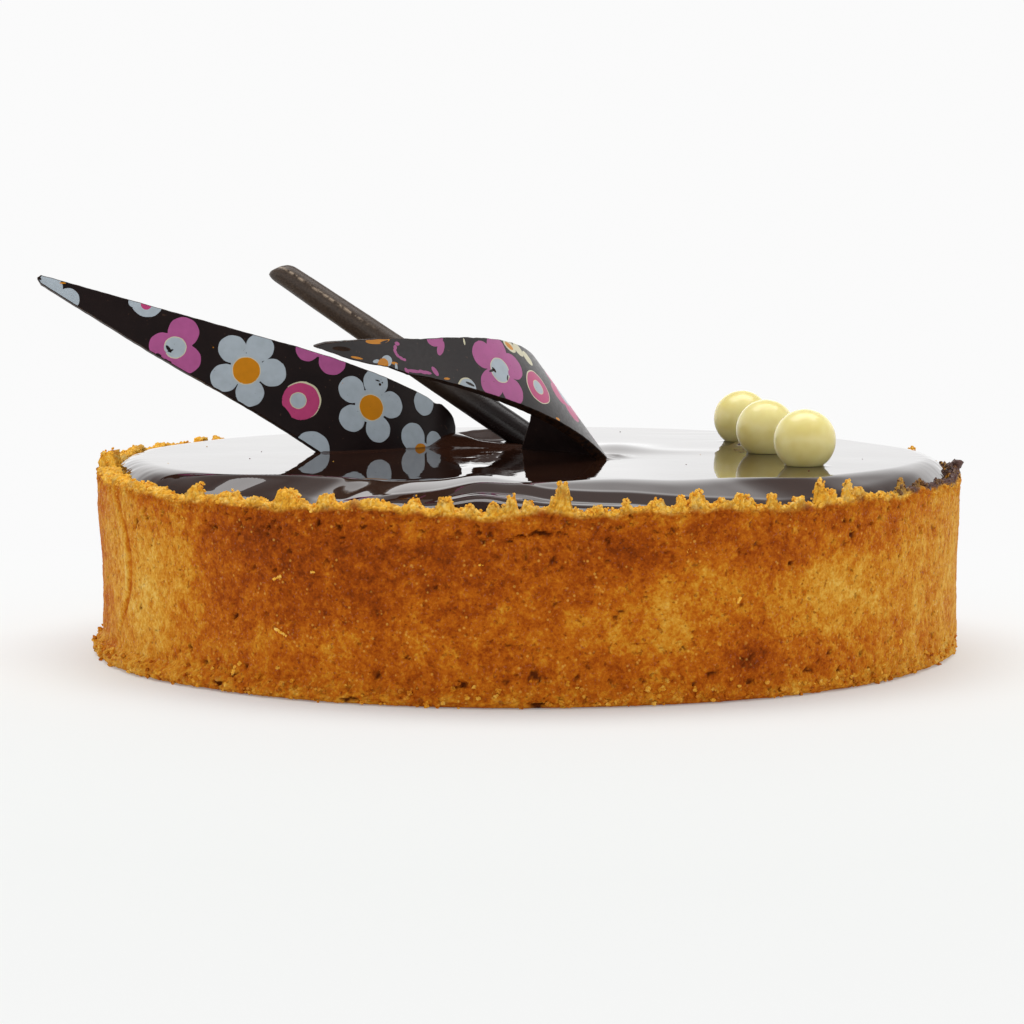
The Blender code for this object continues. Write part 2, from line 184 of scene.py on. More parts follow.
# Deeper browned areas, given in the same way
BROWNED_AREAS = (
    (-119, 11.5, 6, 6, 0.07), (-126, 13.4, 6, 2.2, 0.17), (-98, 12.8, 9, 1.6, 0.17),
    (-112, 10, 7, 3, 0.1), (-78, 13, 5, 1.6, 0.12), (-58, 12.2, 4, 1.6, 0.17), (-90, 9.5, 7, 1.8, 0.07),
    (-63.5, 5, 2, 3.5, 0.12), (-60, 3.2, 5, 1.2, 0.12), (-134, 10.5, 3, 3, 0.08),
    (-42, 13.6, 4, 1.6, 0.11), (45, 13, 8, 2.5, 0.17), (90, 12.5, 9, 2.5, 0.17), (135, 13, 7, 2.5, 0.17),
)
FOLD_ANGLE = -157.5              # degrees: a soft upright fold in the dough at the left
FOLD_SWAY = 5.0                  # degrees that the fold bends to the front at half height
STAIN_ANGLE = math.radians(-14)  # chocolate on the rim at the right
STAIN_SPREAD = math.radians(32)
# Drips of chocolate on the rim at the right: degrees, then distance out, height and radius in mm
RIM_DRIPS = (
    (0, 39.3, 16, 0.62), (0.6, 39.5, 16.55, 0.6), (0.3, 39.72, 16.95, 0.46), (-2.4, 39.2, 15.9, 0.5),
    (-4.6, 39.1, 15.8, 0.42), (-8, 39.2, 15.9, 0.34), (-24.5, 38.9, 16.2, 0.42),
    (-26.5, 39.1, 16.3, 0.36), (-31.5, 38.9, 16.3, 0.3), (-18, 39.2, 16.1, 0.3), (3, 39.3, 16.2, 0.5),
    (6, 39.1, 16, 0.4),
)
RIM_CRUMBS = 1750
RIM_CRUMB_SIZE = (0.08 * MM, 0.22 * MM)
FOOT_CRUMBS = 650
FOOT_CRUMB_SIZE = (0.09 * MM, 0.26 * MM)
# Pale flakes stuck to the wall: degrees, height, half length in mm and turn in degrees
FLAKES = (
    (-122.4, 10.2, 0.38, 25), (-121.9, 5.6, 0.6, -24), (-129.6, 1.9, 0.36, 70), (-117.2, 10.9, 0.14, 0),
    (-139.9, 15.4, 0.16, 80), (-139, 14.7, 0.12, 80), (-64, 8.6, 0.18, 60), (-35, 3.3, 0.16, 70),
    (-71, 12.9, 0.16, 70), (-96, 12, 0.16, 0), (60, 6, 0.4, 15), (120, 9, 0.35, -30),
)

# ---------------------------------------------------------------- fine detail of the glaze

GLAZE_RINGS = 128
GLAZE_SEGMENTS = 720
GLAZE_EDGE_DROP = (1.5, 0.7, 0.4)  # in mm: all round, less at the left end, and in front
GLAZE_WRINKLE = 0.11 * MM       # height of the short wrinkles at the two ends of the rim
PLATE_CREEP = 0.16 * MM         # how far the glaze rises against a plate, and against a pearl
PEARL_CREEP = 0.12 * MM
CREEP_WIDTH = 0.25 * MM
# Faint waves of the whole top: height and size in mm, and the noise's seed
GLAZE_WAVES = ((0.014, 7.5, 8), (0.0016, 1.6, 9))
# Finer waves where it was stirred: centre X and Y and half widths in mm, then as above
GLAZE_STIRRED = ((1, -8, 11, 15, 0.0035, 0.8, 10), (17, 26, 9, 8, 0.012, 2.4, 11))
# Where the top rises gently to the front: centre X, half width and the Y it starts at, in mm, how
# square the stretch is, and its rise in mm per mm
GLAZE_TILTS = ((-3, 9, -4, 4, 0.011), (7.5, 4, -4, 2, 0.012), (-4.5, 2.6, 3, 2, 0.020))
TILT_LENGTH = 23                # in mm
# Where the glaze is pushed up: centre X and Y, half widths and rise, in mm
GLAZE_SWELLS = (
    (-1.5, 13.5, 2.2, 2.2, 0.30),    # behind the stick's foot
    (7.9, -1.6, 0.85, 1.4, 0.30),    # beside the curled plate's right foot
    (20.2, 10.5, 0.9, 1.6, 0.60),    # between two pearls
    (8.0, 7.5, 3.2, 4.2, 0.45),
    (11.5, 4.5, 6.0, 2.5, 0.08),
)
# The ridge piled against the long plate's end: X and height in mm along its crest
GLAZE_RIDGE = (
    (-14, 0), (-11.5, 0.08), (-9.5, 0.5), (-7.6, 1.1), (-6.6, 1.02), (-5, 0.58), (-3, 0.36), (-1, 0.22),
    (1.5, 0),
)
RIDGE_SLOPE = 0.5               # of its front, and of the mound's
RIDGE_PLACE = 9.0               # Y of its crest, how far that bows back, and its length behind, in mm
RIDGE_BOW = 2.0
RIDGE_LENGTH = 5.5
# The same for the mound behind the stick's foot
GLAZE_MOUND = (
    (-10, 0), (-8.6, 0.35), (-7.4, 0.85), (-5.6, 1.15), (-4, 1.25), (-2.6, 0.95), (-1.4, 0.4), (-0.2, 0),
)
MOUND_PLACE = 16.4
MOUND_LENGTH = 3.0
SLOPE_SMOOTHING = 1.6            # degrees over which the slope runs from one row to the next
# The glaze's slope: degrees round from +X; how far inside the edge the slope starts and where it
# breaks over into a steeper side, in mm; over how many mm it starts; and its fall in mm per mm
GLAZE_SLOPE = (
    (-180, 2.4, 1, 3, 0.14), (-165, 3.2, 1.2, 3.2, 0.24), (-152, 4, 1.6, 3, 0.33),
    (-145, 4.6, 2, 1.8, 0.38), (-141, 5.8, 2.6, 1.4, 0.41), (-138, 7.6, 3.9, 1.3, 0.41),
    (-133, 9.6, 5.4, 1.3, 0.375), (-125, 10.5, 5.7, 1.5, 0.325), (-117, 10, 4, 3, 0.25),
    (-110, 9.2, 2.6, 8, 0.18), (-102, 9.1, 4.2, 8, 0.17), (-95, 8.6, 5.9, 6, 0.17),
    (-91, 8.4, 7.4, 3, 0.17), (-88, 8.3, 5.8, 1.6, 0.17), (-80, 9.2, 5.1, 2, 0.18),
    (-67, 9.8, 4.6, 3.5, 0.21), (-60, 10, 4.2, 3, 0.24), (-54, 9.6, 3.4, 2, 0.25),
    (-50, 8.4, 2.8, 1.4, 0.265), (-44, 5.8, 1.6, 1.2, 0.29), (-38, 5, 1.2, 1.5, 0.31),
    (-27, 4.4, 1, 2.5, 0.36), (-11, 2.8, 0.9, 2.4, 0.28), (10, 2, 0.9, 2, 0.14),
    (40, 1.5, 0.8, 1.5, 0.06), (140, 1.5, 0.8, 1.5, 0.06), (170, 2, 0.9, 2.5, 0.1),
    (180, 2.4, 1, 3, 0.14),
)
# Crumbs on the glaze: X, Y and radius in mm
GLAZE_SPECKS = (
    (-31.2, 10, 0.09), (-26, -3.8, 0.08), (-25.5, 4.1, 0.07), (-18.1, -7, 0.07), (-5, -15.4, 0.07),
    (14, -10.1, 0.08), (15.8, 0.9, 0.06), (20.5, 10.3, 0.1), (24.6, -16.5, 0.11), (2.5, -13, 0.06),
    (30.5, -4, 0.06), (-12, 27, 0.08), (-33, -9, 0.06), (9, 29, 0.09),
)

# ---------------------------------------------------------------- studio

SURROUND = 0.963                # plain white behind the tart
# Light against height: the sines of two elevations, then the strengths at these
BACK_LIGHT = (0.26, 0.60, 1.60, 0.36)
FRONT_LIGHT = (0.15, 0.60, 1.9, 0.45)
TOP_LIGHT = (0.76, 0.92, 0.0, 0.85)
OVERHEAD_PLACE = (0.0, 0.12, 0.5)
OVERHEAD_AIM = (0.0, 0.0, 0.01)
OVERHEAD_SIZE = (0.62, 0.30)
OVERHEAD_WATTS = 1.72
FLOOR_HALF = 6.0
FLOOR_FADE_FROM = (0.0, -60 * MM, 0.0)  # a place in front of the tart
FLOOR_FADE = (0.05, 0.15, 0.18, 1.0)    # two distances from there, and the shares of white at these
CAMERA_PLACE = (0.0, -330 * MM, 45.03 * MM)
CAMERA_DIP = 0.09843            # radians down from level
CAMERA_TURN = 0.0055            # radians to the left
CAMERA_LENS = 124.74

# ---------------------------------------------------------------- print on the plates

PRINT_SIDES = 56
PRINT_GRID = 0.55 * MM
OUTLINE_STEP = 0.35 * MM
CHAMFER = 0.07 * MM
BARE, WHITE, YELLOW, PINK, VIOLET, EDGE, PALE = range(7)


def flower(colour, along, across, distance, radius, first):
    """Five round petals in a ring about a centre, with a disc that fills their middle."""
    shapes = [(colour, along, across, distance)]
    for index in range(5):
        angle = math.radians(first + 72.0 * index)
        shapes.append((colour, along + distance * math.cos(angle),
                       across + distance * math.sin(angle), radius))
    return shapes


def rimmed(colour, along, across, radius):
    """A printed disc with a thin pale outline."""
    return [(PALE, along, across, radius + 0.08), (colour, along, across, radius)]


def petals(colour, radius, *places):
    return [(colour, along, across, radius) for along, across in places]


# Printed shapes, each over those before it: colour, place along and across the plate and radius;
# or for an oval two half lengths, and its turn in degrees. All lengths are in mm.
LONG_PRINT = [
    (WHITE, 1.1, -1, 1.32), (WHITE, 2.95, -2, 1.05), (YELLOW, 2.4, -0.47, 0.3, 0.08),
    (EDGE, 0.2, 0, 0.14, 0.2, 20), (BARE, 0.32, -0.15, 0.1), (BARE, 2.72, -2.3, 0.08),
    (BARE, 3, -2.42, 0.1), (BARE, 2.45, -2.12, 0.05), (WHITE, 10.35, -2.05, 1.5),
    (WHITE, 9.12, -2.1, 0.55), (PINK, 10.25, -2.33, 0.5), (VIOLET, 13.77, -4.92, 1.47),
    (VIOLET, 11.85, -6.25, 1.28), (VIOLET, 14.05, -7.5, 1.4), (VIOLET, 13.1, -6.3, 1.5),
    *rimmed(WHITE, 13.03, -6.39, 0.98), (VIOLET, 12, -6.9, 0.2), (WHITE, 12.18, -6.6, 0.14, 0.4, 20),
    (BARE, 12.42, -6.55, 0.16, 0.42, 35), (BARE, 12.6, -6.7, 0.3, 0.1, 20),
    (BARE, 11.5, -7.15, 0.3, 0.12, -25),
    *petals(WHITE, 1.34, (18.4, -6.41), (20.96, -6.21), (22.14, -8.6), (20.08, -10.56), (17.7, -9.18)),
    (WHITE, 19.8, -8.4, 1.62), *rimmed(YELLOW, 19.73, -8.45, 1.28), (PALE, 25, -11.17, 1.83),
    (PINK, 24.9, -11.27, 1.78), *rimmed(WHITE, 24.65, -11.2, 0.72), (BARE, 23.2, -12.6, 0.62, 1.35, 37),
    (BARE, 22.9, -11.3, 0.3, 0.12, 30), (VIOLET, 27.87, -7.28, 1.32), (VIOLET, 25.48, -6.26, 1.13),
    (VIOLET, 26.7, -6.2, 0.75),
    *petals(WHITE, 1.3, (29.82, -9.85), (32.3, -8.96), (33.94, -10.96), (32.59, -13.42), (29.9, -12.61)),
    (WHITE, 31.8, -11.3, 1.62), *rimmed(YELLOW, 31.86, -11.41, 1.22), (EDGE, 32.75, -9.1, 0.14),
    (EDGE, 32.5, -8.75, 0.26, 0.07, -10), (EDGE, 33, -8.9, 0.08), (WHITE, 26.01, -15.75, 1.67),
    (WHITE, 37.9, -10.25, 1.24), (WHITE, 36.6, -13.8, 1.42), (WHITE, 39.3, -13.9, 1.05),
    (WHITE, 37.8, -15.2, 1.1), (YELLOW, 37.6, -15.1, 0.85), (EDGE, 16.45, -6, 0.12, 0.22, 30),
    (YELLOW, 16.6, -6.3, 0.06), (EDGE, 16.3, -5.8, 0.08), (EDGE, 21.3, -4.75, 0.07),
    (YELLOW, 28.9, -9.3, 0.04), (EDGE, 24, -8.2, 0.05),
]
CURL_PRINT = [
    (YELLOW, 31.9, 21.5, 1.1, 0.3, 34), (BARE, 31.5, 21.05, 0.4, 0.1, 20),
    (YELLOW, 34.3, 21.45, 0.55, 0.1, 48), (EDGE, 34.9, 22.9, 0.8, 0.2, 42), (WHITE, 32.35, 19.6, 0.5),
    (WHITE, 33.1, 20.15, 0.3, 0.16, 30), (YELLOW, 32.75, 19.6, 0.48), (YELLOW, 31.9, 19, 0.3, 0.12, 48),
    (WHITE, 32, 18.6, 0.12, 0.4, 30), (VIOLET, 30.65, 20.2, 0.24, 0.16, 60),
    (VIOLET, 31, 20.05, 0.16, 0.22, 30), (VIOLET, 31.22, 19.75, 0.13, 0.3, 10),
    (VIOLET, 31.26, 19.4, 0.12, 0.28, -5), (VIOLET, 31.14, 18.98, 0.12, 0.3, -18),
    (VIOLET, 30.98, 18.68, 0.12, 0.16, -25), (VIOLET, 27.35, 18.3, 0.85, 0.75, 35),
    (VIOLET, 27.45, 17.3, 0.35, 0.7, 60), (VIOLET, 30.9, 17.35, 0.7, 0.14, 45),
    (VIOLET, 30.3, 16.8, 0.4, 0.14, 60), (VIOLET, 30, 16.5, 0.45, 0.14, 50),
    (VIOLET, 29.3, 16.1, 0.2, 0.5, 0), (VIOLET, 31.4, 17.8, 0.14, 0.3, 0),
    (YELLOW, 28.8, 14.9, 0.3, 0.1, 40), (PALE, 24.9, 16.2, 0.1, 0.32, 35), (PALE, 27.75, 13.05, 0.95),
    (WHITE, 27.7, 12.95, 0.9), (BARE, 27.2, 13.1, 0.5, 0.12, 60),
    *petals(VIOLET, 1.3, (23.9, 14.1), (21.8, 13.5), (21.4, 11.2), (23.6, 9.75), (25.1, 11.7)),
    (VIOLET, 23.3, 11.9, 1.65), *rimmed(WHITE, 23.3, 11.95, 1.12), (BARE, 24.2, 12.5, 0.42, 0.12, 20),
    (EDGE, 23.95, 12.4, 0.14, 0.3, 0), (BARE, 23.1, 10.95, 0.3, 0.1, -30),
    (VIOLET, 22.5, 11.1, 0.3, 0.14, -40), (PALE, 19.6, 12.6, 0.95, 0.62, 60),
    (PALE, 18.45, 11.6, 0.8, 0.62, 80), (PALE, 17.75, 10.3, 0.6, 0.8, 0),
    (YELLOW, 19.7, 12.6, 0.6, 0.3, 60), (PALE, 19.85, 8, 1.72), (PINK, 19.85, 7.98, 1.62),
    *rimmed(WHITE, 19.85, 7.98, 0.66), *flower(PINK, 14.6, 4.7, 1.8, 1.2, 30), (WHITE, 14.6, 4.7, 1.05),
    (YELLOW, 20.4, 4.65, 0.3, 0.14, 50), *flower(WHITE, 9.2, 2.6, 2.1, 1.25, 18), (YELLOW, 9.2, 2.6, 1.2),
    (PINK, 4.6, 0.9, 1.2), (WHITE, 4.6, 0.9, 0.5), (VIOLET, 12.9, -0.4, 1.3),
]

# Linear colours of the pastry from deep brown to pale gold, and of its torn crumb
BAKED_COLOURS = ((0.0, (0.17, 0.029, 0.002)), (0.22, (0.32, 0.060, 0.0025)),
                 (0.42, (0.48, 0.120, 0.005)), (0.60, (0.60, 0.230, 0.014)),
                 (0.78, (0.71, 0.365, 0.046)), (1.0, (0.79, 0.53, 0.13)))
CRUMB_COLOURS = ((0.0, (0.74, 0.26, 0.013)), (0.5, (0.93, 0.50, 0.05)),
                 (1.0, (1.0, 0.76, 0.25)))
# Linear colours of the print
PRINT_COLOURS = {
    WHITE: (0.41, 0.47, 0.52), YELLOW: (0.60, 0.22, 0.003), PINK: (0.50, 0.055, 0.18),
    VIOLET: (0.42, 0.095, 0.27), PALE: (0.62, 0.58, 0.40),
}


# ================================================================ shapes: shared functions

def wave(angle, terms):
    """A sum of sines round the tart, from (size, count, phase) terms."""
    return sum(size * np.sin(count * angle + phase) for size, count, phase in terms)


def signed(angle):
    """The same angle, brought to within half a turn of 0."""
    return (angle + math.pi) % FULL_TURN - math.pi


def arc_from(angle, degrees):
    """Signed angle in radians from a place given in degrees."""
    return signed(angle - math.radians(degrees))


def bump(angle, centre, spread):
    """1 at the centre angle, falling smoothly to 0 at the spread on each side."""
    away = np.abs(signed(angle - centre))
    return np.where(away < spread, 0.5 + 0.5 * np.cos(math.pi * np.minimum(away / spread, 1)), 0.0)


def unit(value):
    """The value, kept between 0 and 1."""
    return min(1.0, max(0.0, value))


def around(angle, reach, height):
    """The point at an angle round the tart, a distance out and a height."""
    return (reach * math.cos(angle), reach * math.sin(angle), height)


def points_of(*grids):
    """The points whose X, Y and Z are given as grids of numbers, in one long list."""
    return np.stack([grid.ravel() for grid in grids], 1)


def noise_at(points, size, seed):
    """Smooth noise between about -1 and 1 at each point, with features of the given size."""
    shift = Vector((seed * 17.3, seed * 5.9, seed * 11.7))
    return np.array([noise.noise(Vector(point) / size + shift) for point in points])


def fractal_at(points, size, octaves, seed):
    """The same, with finer noise added octave by octave."""
    shift = Vector((seed * 13.1, seed * 7.7, seed * 3.3))
    return np.array([noise.fractal(Vector(point) / size + shift, 0.8, 2.1, octaves)
                     for point in points])


def add_object(name, data):
    """Puts a mesh, a lamp or a camera into the scene."""
    item = bpy.data.objects.new(name, data)
    bpy.context.scene.collection.objects.link(item)
    return item


def new_piece(name, points, faces, material, replaces=(), smooth=True):
    """Makes a mesh piece, puts it on the body and hides the nodes that it stands for."""
    mesh = bpy.data.meshes.new(name)
    mesh.from_pydata([tuple(point) for point in points], [], faces)
    mesh.validate()
    if smooth:
        mesh.shade_smooth()
    for item in (material if isinstance(material, (list, tuple)) else [material]):
        mesh.materials.append(item)
    piece = add_object(name, mesh)
    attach(piece, BODY)
    if replaces:
        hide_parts(*replaces)
    return piece


def turn_outward(piece, weld=0.0):
    """Joins points closer than weld, and makes all faces of a closed piece face outward."""
    shape = bmesh.new()
    shape.from_mesh(piece.data)
    if weld:
        bmesh.ops.remove_doubles(shape, verts=shape.verts, dist=weld)
    bmesh.ops.recalc_face_normals(shape, faces=shape.faces)
    shape.to_mesh(piece.data)
    shape.free()


def set_values(piece, name, values):
    """Stores one number for each point, which the materials read."""
    layer = piece.data.attributes.new(name, "FLOAT", "POINT")
    layer.data.foreach_set("value", np.asarray(values, np.float32))


def grid_faces(columns, rows):
    """Quads all round a ring of points, which are listed column by column."""
    faces = []
    for column in range(columns):
        here = column * rows
        there = (column + 1) % columns * rows
        for row in range(rows - 1):
            faces.append((here + row, there + row, there + row + 1, here + row + 1))
    return faces


# ================================================================ materials

class Nodes:
    """A node tree, with short calls to add and join nodes."""

    def __init__(self, tree):
        self.tree = tree

    def add(self, kind, values=None, **settings):
        item = self.tree.nodes.new("ShaderNode" + kind)
        for key, value in settings.items():
            setattr(item, key, value)
        for key, value in (values or {}).items():
            self.feed(item.inputs[key], value)
        return item

    def feed(self, socket, value):
        if isinstance(value, bpy.types.NodeSocket):
            self.tree.links.new(value, socket)
        elif isinstance(value, tuple) and len(value) == 3 and socket.type == "RGBA":
            socket.default_value = (*value, 1.0)
        else:
            socket.default_value = value

    def math(self, operation, first, second, clamp=False):
        return self.add("Math", {0: first, 1: second}, operation=operation,
                        use_clamp=clamp).outputs[0]

    def plus(self, first, second, clamp=False):
        return self.math("ADD", first, second, clamp)

    def minus(self, first, second):
        return self.math("SUBTRACT", first, second)

    def times(self, first, second):
        return self.math("MULTIPLY", first, second)

    def stretch(self, value, low, high, new_low=0.0, new_high=1.0, **settings):
        values = {"Value": value, "From Min": low, "From Max": high, "To Min": new_low,
                  "To Max": new_high}
        return self.add("MapRange", values, **settings).outputs["Result"]


class Look(Nodes):
    """A material's node tree around its shader."""

    def __init__(self, name):
        self.material = bpy.data.materials.new(name)
        self.material.use_nodes = True
        super().__init__(self.material.node_tree)
        self.shader = self.tree.nodes["Principled BSDF"]

    def set(self, **values):
        """Sets or joins the shader's own sockets; an underscore stands for a space."""
        for key, value in values.items():
            self.feed(self.shader.inputs[key.replace("_", " ")], value)

    def place(self):
        return self.add("TexCoord").outputs["Object"]

    def value_of(self, name):
        return self.add("Attribute", attribute_name=name).outputs["Fac"]

    def noise(self, size, detail=2.0, roughness=0.5, distortion=0.0):
        """Noise with features of about the given size in metres."""
        values = {"Vector": self.place(), "Scale": 1 / size, "Detail": detail,
                  "Roughness": roughness, "Distortion": distortion}
        return self.add("TexNoise", values).outputs["Fac"]

    def cells(self, size):
        values = {"Vector": self.place(), "Scale": 1 / size}
        return self.add("TexVoronoi", values, feature="F1").outputs["Distance"]

    def mix(self, share, first, second):
        item = self.add("Mix", data_type="RGBA")
        self.feed(item.inputs["Factor"], share)
        self.feed(item.inputs[6], first)
        self.feed(item.inputs[7], second)
        return item.outputs[2]

    def ramp(self, value, stops):
        """A colour for each value, from (value, colour) stops in rising order."""
        item = self.add("ValToRGB", {"Fac": value})
        elements = item.color_ramp.elements
        elements[0].position = stops[0][0]
        elements[1].position = stops[-1][0]
        for position, _ in stops[1:-1]:
            elements.new(position)
        for element, (_, colour) in zip(elements, stops):
            element.color = (*colour, 1.0)
        return item.outputs["Color"]

    def bump(self, height, distance, strength):
        values = {"Height": height, "Distance": distance, "Strength": strength}
        return self.add("Bump", values).outputs["Normal"]


def pastry_material():
    """Baked pastry: golden to brown, mottled and grainy, darkened by painted shade in its pits and
    crevices, fresh where torn.
    """
    look = Look("baked_pastry")
    coarse = look.noise(3.0 * MM, 3.0, 0.6, 0.5)
    medium = look.noise(0.85 * MM, 3.0, 0.65, 0.4)
    fine = look.noise(0.26 * MM, 2.0, 0.6)
    share = look.plus(look.value_of("golden"), look.stretch(coarse, 0.25, 0.75, -0.13, 0.13))
    share = look.plus(share, look.stretch(medium, 0.25, 0.75, -0.20, 0.20))
    share = look.plus(share, look.stretch(fine, 0.25, 0.75, -0.13, 0.13), clamp=True)
    colour = look.ramp(share, BAKED_COLOURS)

    specks = look.stretch(look.noise(0.42 * MM, 1.0), 0.66, 0.72)
    colour = look.mix(look.times(specks, 0.45), colour, (0.17, 0.03, 0.003))
    flecks = look.stretch(look.cells(0.55 * MM), 0.16, 0.26, 1.0, 0.0)
    flecks = look.times(flecks, look.stretch(look.noise(1.9 * MM, 2.0), 0.50, 0.60))
    colour = look.mix(look.times(flecks, 0.42), colour, (0.86, 0.47, 0.08))
    crumb = look.ramp(look.plus(look.stretch(fine, 0.3, 0.7, 0.0, 0.5),
                                look.stretch(medium, 0.3, 0.7, 0.0, 0.5)), CRUMB_COLOURS)
    colour = look.mix(look.times(look.value_of("fresh"), 0.92), colour, crumb)
    # Painted shade: the colour is darkened in the crevices between grains and, below, in the pits.
    colour = look.mix(look.value_of("crevice_shade"), colour, (0.22, 0.045, 0.004))
    colour = look.mix(look.stretch(look.value_of("pit"), 0.25, 0.95), colour, (0.10, 0.019, 0.002))
    stain = look.value_of("stain")
    colour = look.mix(stain, colour, (0.075, 0.026, 0.018))

    grain = look.plus(look.times(fine, 0.6), look.times(medium, 0.9))
    grain = look.minus(grain, look.times(specks, 0.35))
    glint = look.stretch(look.noise(0.2 * MM, 0.0), 0.70, 0.77)
    rough = look.stretch(medium, 0.3, 0.7, 0.72, 0.58)
    rough = look.minus(rough, look.times(glint, 0.25))
    rough = look.minus(rough, look.times(stain, 0.2))
    shine = look.plus(look.times(glint, 0.3), 0.05)
    shine = look.plus(shine, look.times(stain, 0.3))
    look.set(Base_Color=colour, Roughness=rough, IOR=1.45, Specular_IOR_Level=shine,
             Normal=look.bump(grain, 0.2 * MM, 0.9))
    return look.material


def glaze_material():
    look = Look("dark_glaze")
    cloud = look.noise(7 * MM, 2.0)
    fine = look.noise(1.6 * MM, 1.0)
    colour = look.mix(look.stretch(cloud, 0.3, 0.7), (0.024, 0.0085, 0.005), (0.034, 0.013, 0.007))
    look.set(Base_Color=colour, Roughness=look.stretch(cloud, 0.3, 0.7, 0.010, 0.025), IOR=1.5,
             Normal=look.bump(fine, 0.003 * MM, 0.5))
    return look.material


def drifting_look(name, dark, light, fine, rough, relief, cloud=None, shine=0.5, strength=0.5,
                  ior=1.45, limits=(0.3, 0.7), worn=None):
    """A colour that drifts from dark to light, with fine relief and, if asked, worn specks.

    fine, cloud: size and detail of the noise behind the relief, and behind the colour if it differs.
    worn: the specks' size, their noise's two limits, their share and their colour.
    """
    look = Look(name)
    grain = look.noise(*fine)
    drift = look.noise(*cloud) if cloud else grain
    colour = look.mix(look.stretch(drift, *limits), dark, light)
    if worn:
        size, low, high, share, tint = worn
        specks = look.stretch(look.noise(size, 1.0), low, high)
        colour = look.mix(look.times(specks, share), colour, tint)
    look.set(Base_Color=colour, Roughness=look.stretch(grain, 0.3, 0.7, *rough), IOR=ior,
             Specular_IOR_Level=shine, Normal=look.bump(grain, relief, strength))
    return look


def plate_materials(label, shine, broken_edge):
    """Bare satin chocolate, then the print's colours and the edge, in the order of their numbers."""
    looks = [drifting_look(label + "_chocolate", (0.0065, 0.0028, 0.003), (0.012, 0.0055, 0.005),
                           (0.3 * MM, 2.0), (0.30, 0.42), 0.02 * MM, (2.5 * MM, 3.0), shine,
                           worn=(0.35 * MM, 0.72, 0.78, 0.3, (0.12, 0.06, 0.035)))]
    for title, number in (("white", WHITE), ("yellow", YELLOW), ("pink", PINK),
                          ("violet", VIOLET), ("pale", PALE)):
        colour = PRINT_COLOURS[number]
        dull = tuple(channel * 0.88 for channel in colour)
        looks.append(drifting_look(label + "_" + title, dull, colour, (0.8 * MM, 3.0),
                                   (0.36, 0.46), 0.01 * MM, shine=shine,
                                   worn=(0.2 * MM, 0.74, 0.78, 0.5, (0.05, 0.025, 0.02))))
    looks.insert(EDGE, broken_edge)
    return [look.material for look in looks]


def stick_material():
    """Rolled chocolate: smooth and darkened by painted shade low down, dull and greyer above, with a
    painted highlight along its seam near the top.
    """
    look = Look("rolled_chocolate")
    cloud = look.noise(1.5 * MM, 3.0, 0.6)
    fine = look.noise(0.2 * MM, 2.0)
    bloom_and_shade = look.value_of("bloom_and_shade")
    colour = look.mix(look.stretch(fine, 0.3, 0.7), (0.040, 0.024, 0.015), (0.070, 0.046, 0.031))
    # Painted shade: low on the stick, under the curled plate, the colour goes down to near black.
    colour = look.mix(bloom_and_shade, (0.008, 0.0035, 0.003), colour)
    # Painted highlight: a pale, broken line along the seam's ridge near the top of the stick.
    painted_highlight = look.stretch(look.noise(0.55 * MM, 2.0), 0.42, 0.54)
    painted_highlight = look.times(painted_highlight, look.value_of("highlight_streak"))
    colour = look.mix(look.times(painted_highlight, 0.8), colour, (0.52, 0.40, 0.29))
    rough = look.plus(look.stretch(cloud, 0.35, 0.65, 0.24, 0.30), look.times(bloom_and_shade, 0.14))
    look.set(Base_Color=colour, Roughness=rough, IOR=1.45, Specular_IOR_Level=0.4,
             Normal=look.bump(fine, 0.03 * MM, 0.6))
    return look.material


def pearl_material():
    look = drifting_look("ivory_coating", (0.82, 0.69, 0.24), (0.90, 0.80, 0.34), (0.6 * MM, 1.0),
                         (0.11, 0.18), 0.012 * MM, (2.2 * MM, 2.0), ior=1.46)
    look.set(Subsurface_Weight=0.2, Subsurface_Radius=(1.0, 0.8, 0.3), Subsurface_Scale=0.6 * MM)
    return look.material


# ================================================================ pastry case

def inner_radius(angle):
    return INNER_RADIUS + INNER_SHIFT * np.cos(angle) + wave(angle, INNER_WAVES)


def rim_base(angle):
    """Height of the rim without its crumbs, and how far it is lifted at the back left."""
    lift = RIM_LIFT * bump(angle, RIM_LIFT_ANGLE, RIM_LIFT_SPREAD)
    return RIM_HEIGHT + wave(angle, RIM_WAVES) + lift, lift


def rim_edge(angle):
    """Radius of the wall's outer skin just under the rim."""
    flare = 0.15 * MM * bump(angle, math.pi, math.radians(25))
    return TOP_RADIUS + wall_sway(angle) + RIM_FLARE * rim_base(angle)[1] + flare


def wall_sway(angle):
    return wave(angle, WALL_WAVES) - WALL_SHIFT * (1 + np.cos(angle))


def rim_rise(angle):
    """Rise of the standing crumbs above the rim: steep-sided and blunt."""
    rise = np.zeros_like(angle)
    for degrees, top, width, lean in RIM_PEAKS:
        away = arc_from(angle, degrees + math.degrees(0.4 * lean * MM / TOP_RADIUS))
        away = away * TOP_RADIUS / (0.62 * width * MM)
        away = away + 0.25 * np.sin(away * 5 + degrees)
        rise = np.maximum(rise, top * MM * np.exp(-np.abs(away) ** 3.4))
    return rise


def area_strength(areas, angle, height):
    total = np.zeros_like(angle)
    for degrees, level, half_width, half_height, strength in areas:
        across = arc_from(angle, degrees) * WALL_RADIUS / (half_width * MM)
        up = (height - level * MM) / (half_height * MM)
        total += strength * np.exp(-(across ** 2 + up ** 2))
    return total


def granules(points, size, seed):
    """Rounded grains of about the given size: near 0.5 on a grain, down to -0.5 between grains."""
    shift = Vector((seed * 3.7, seed * 9.1, seed * 6.3))
    values = []
    for point in points:
        nearest = noise.voronoi(Vector(point) / size + shift)[0]
        values.append(min(1.0, (nearest[1] - nearest[0]) * 2.2))
    return np.array(values) - 0.5


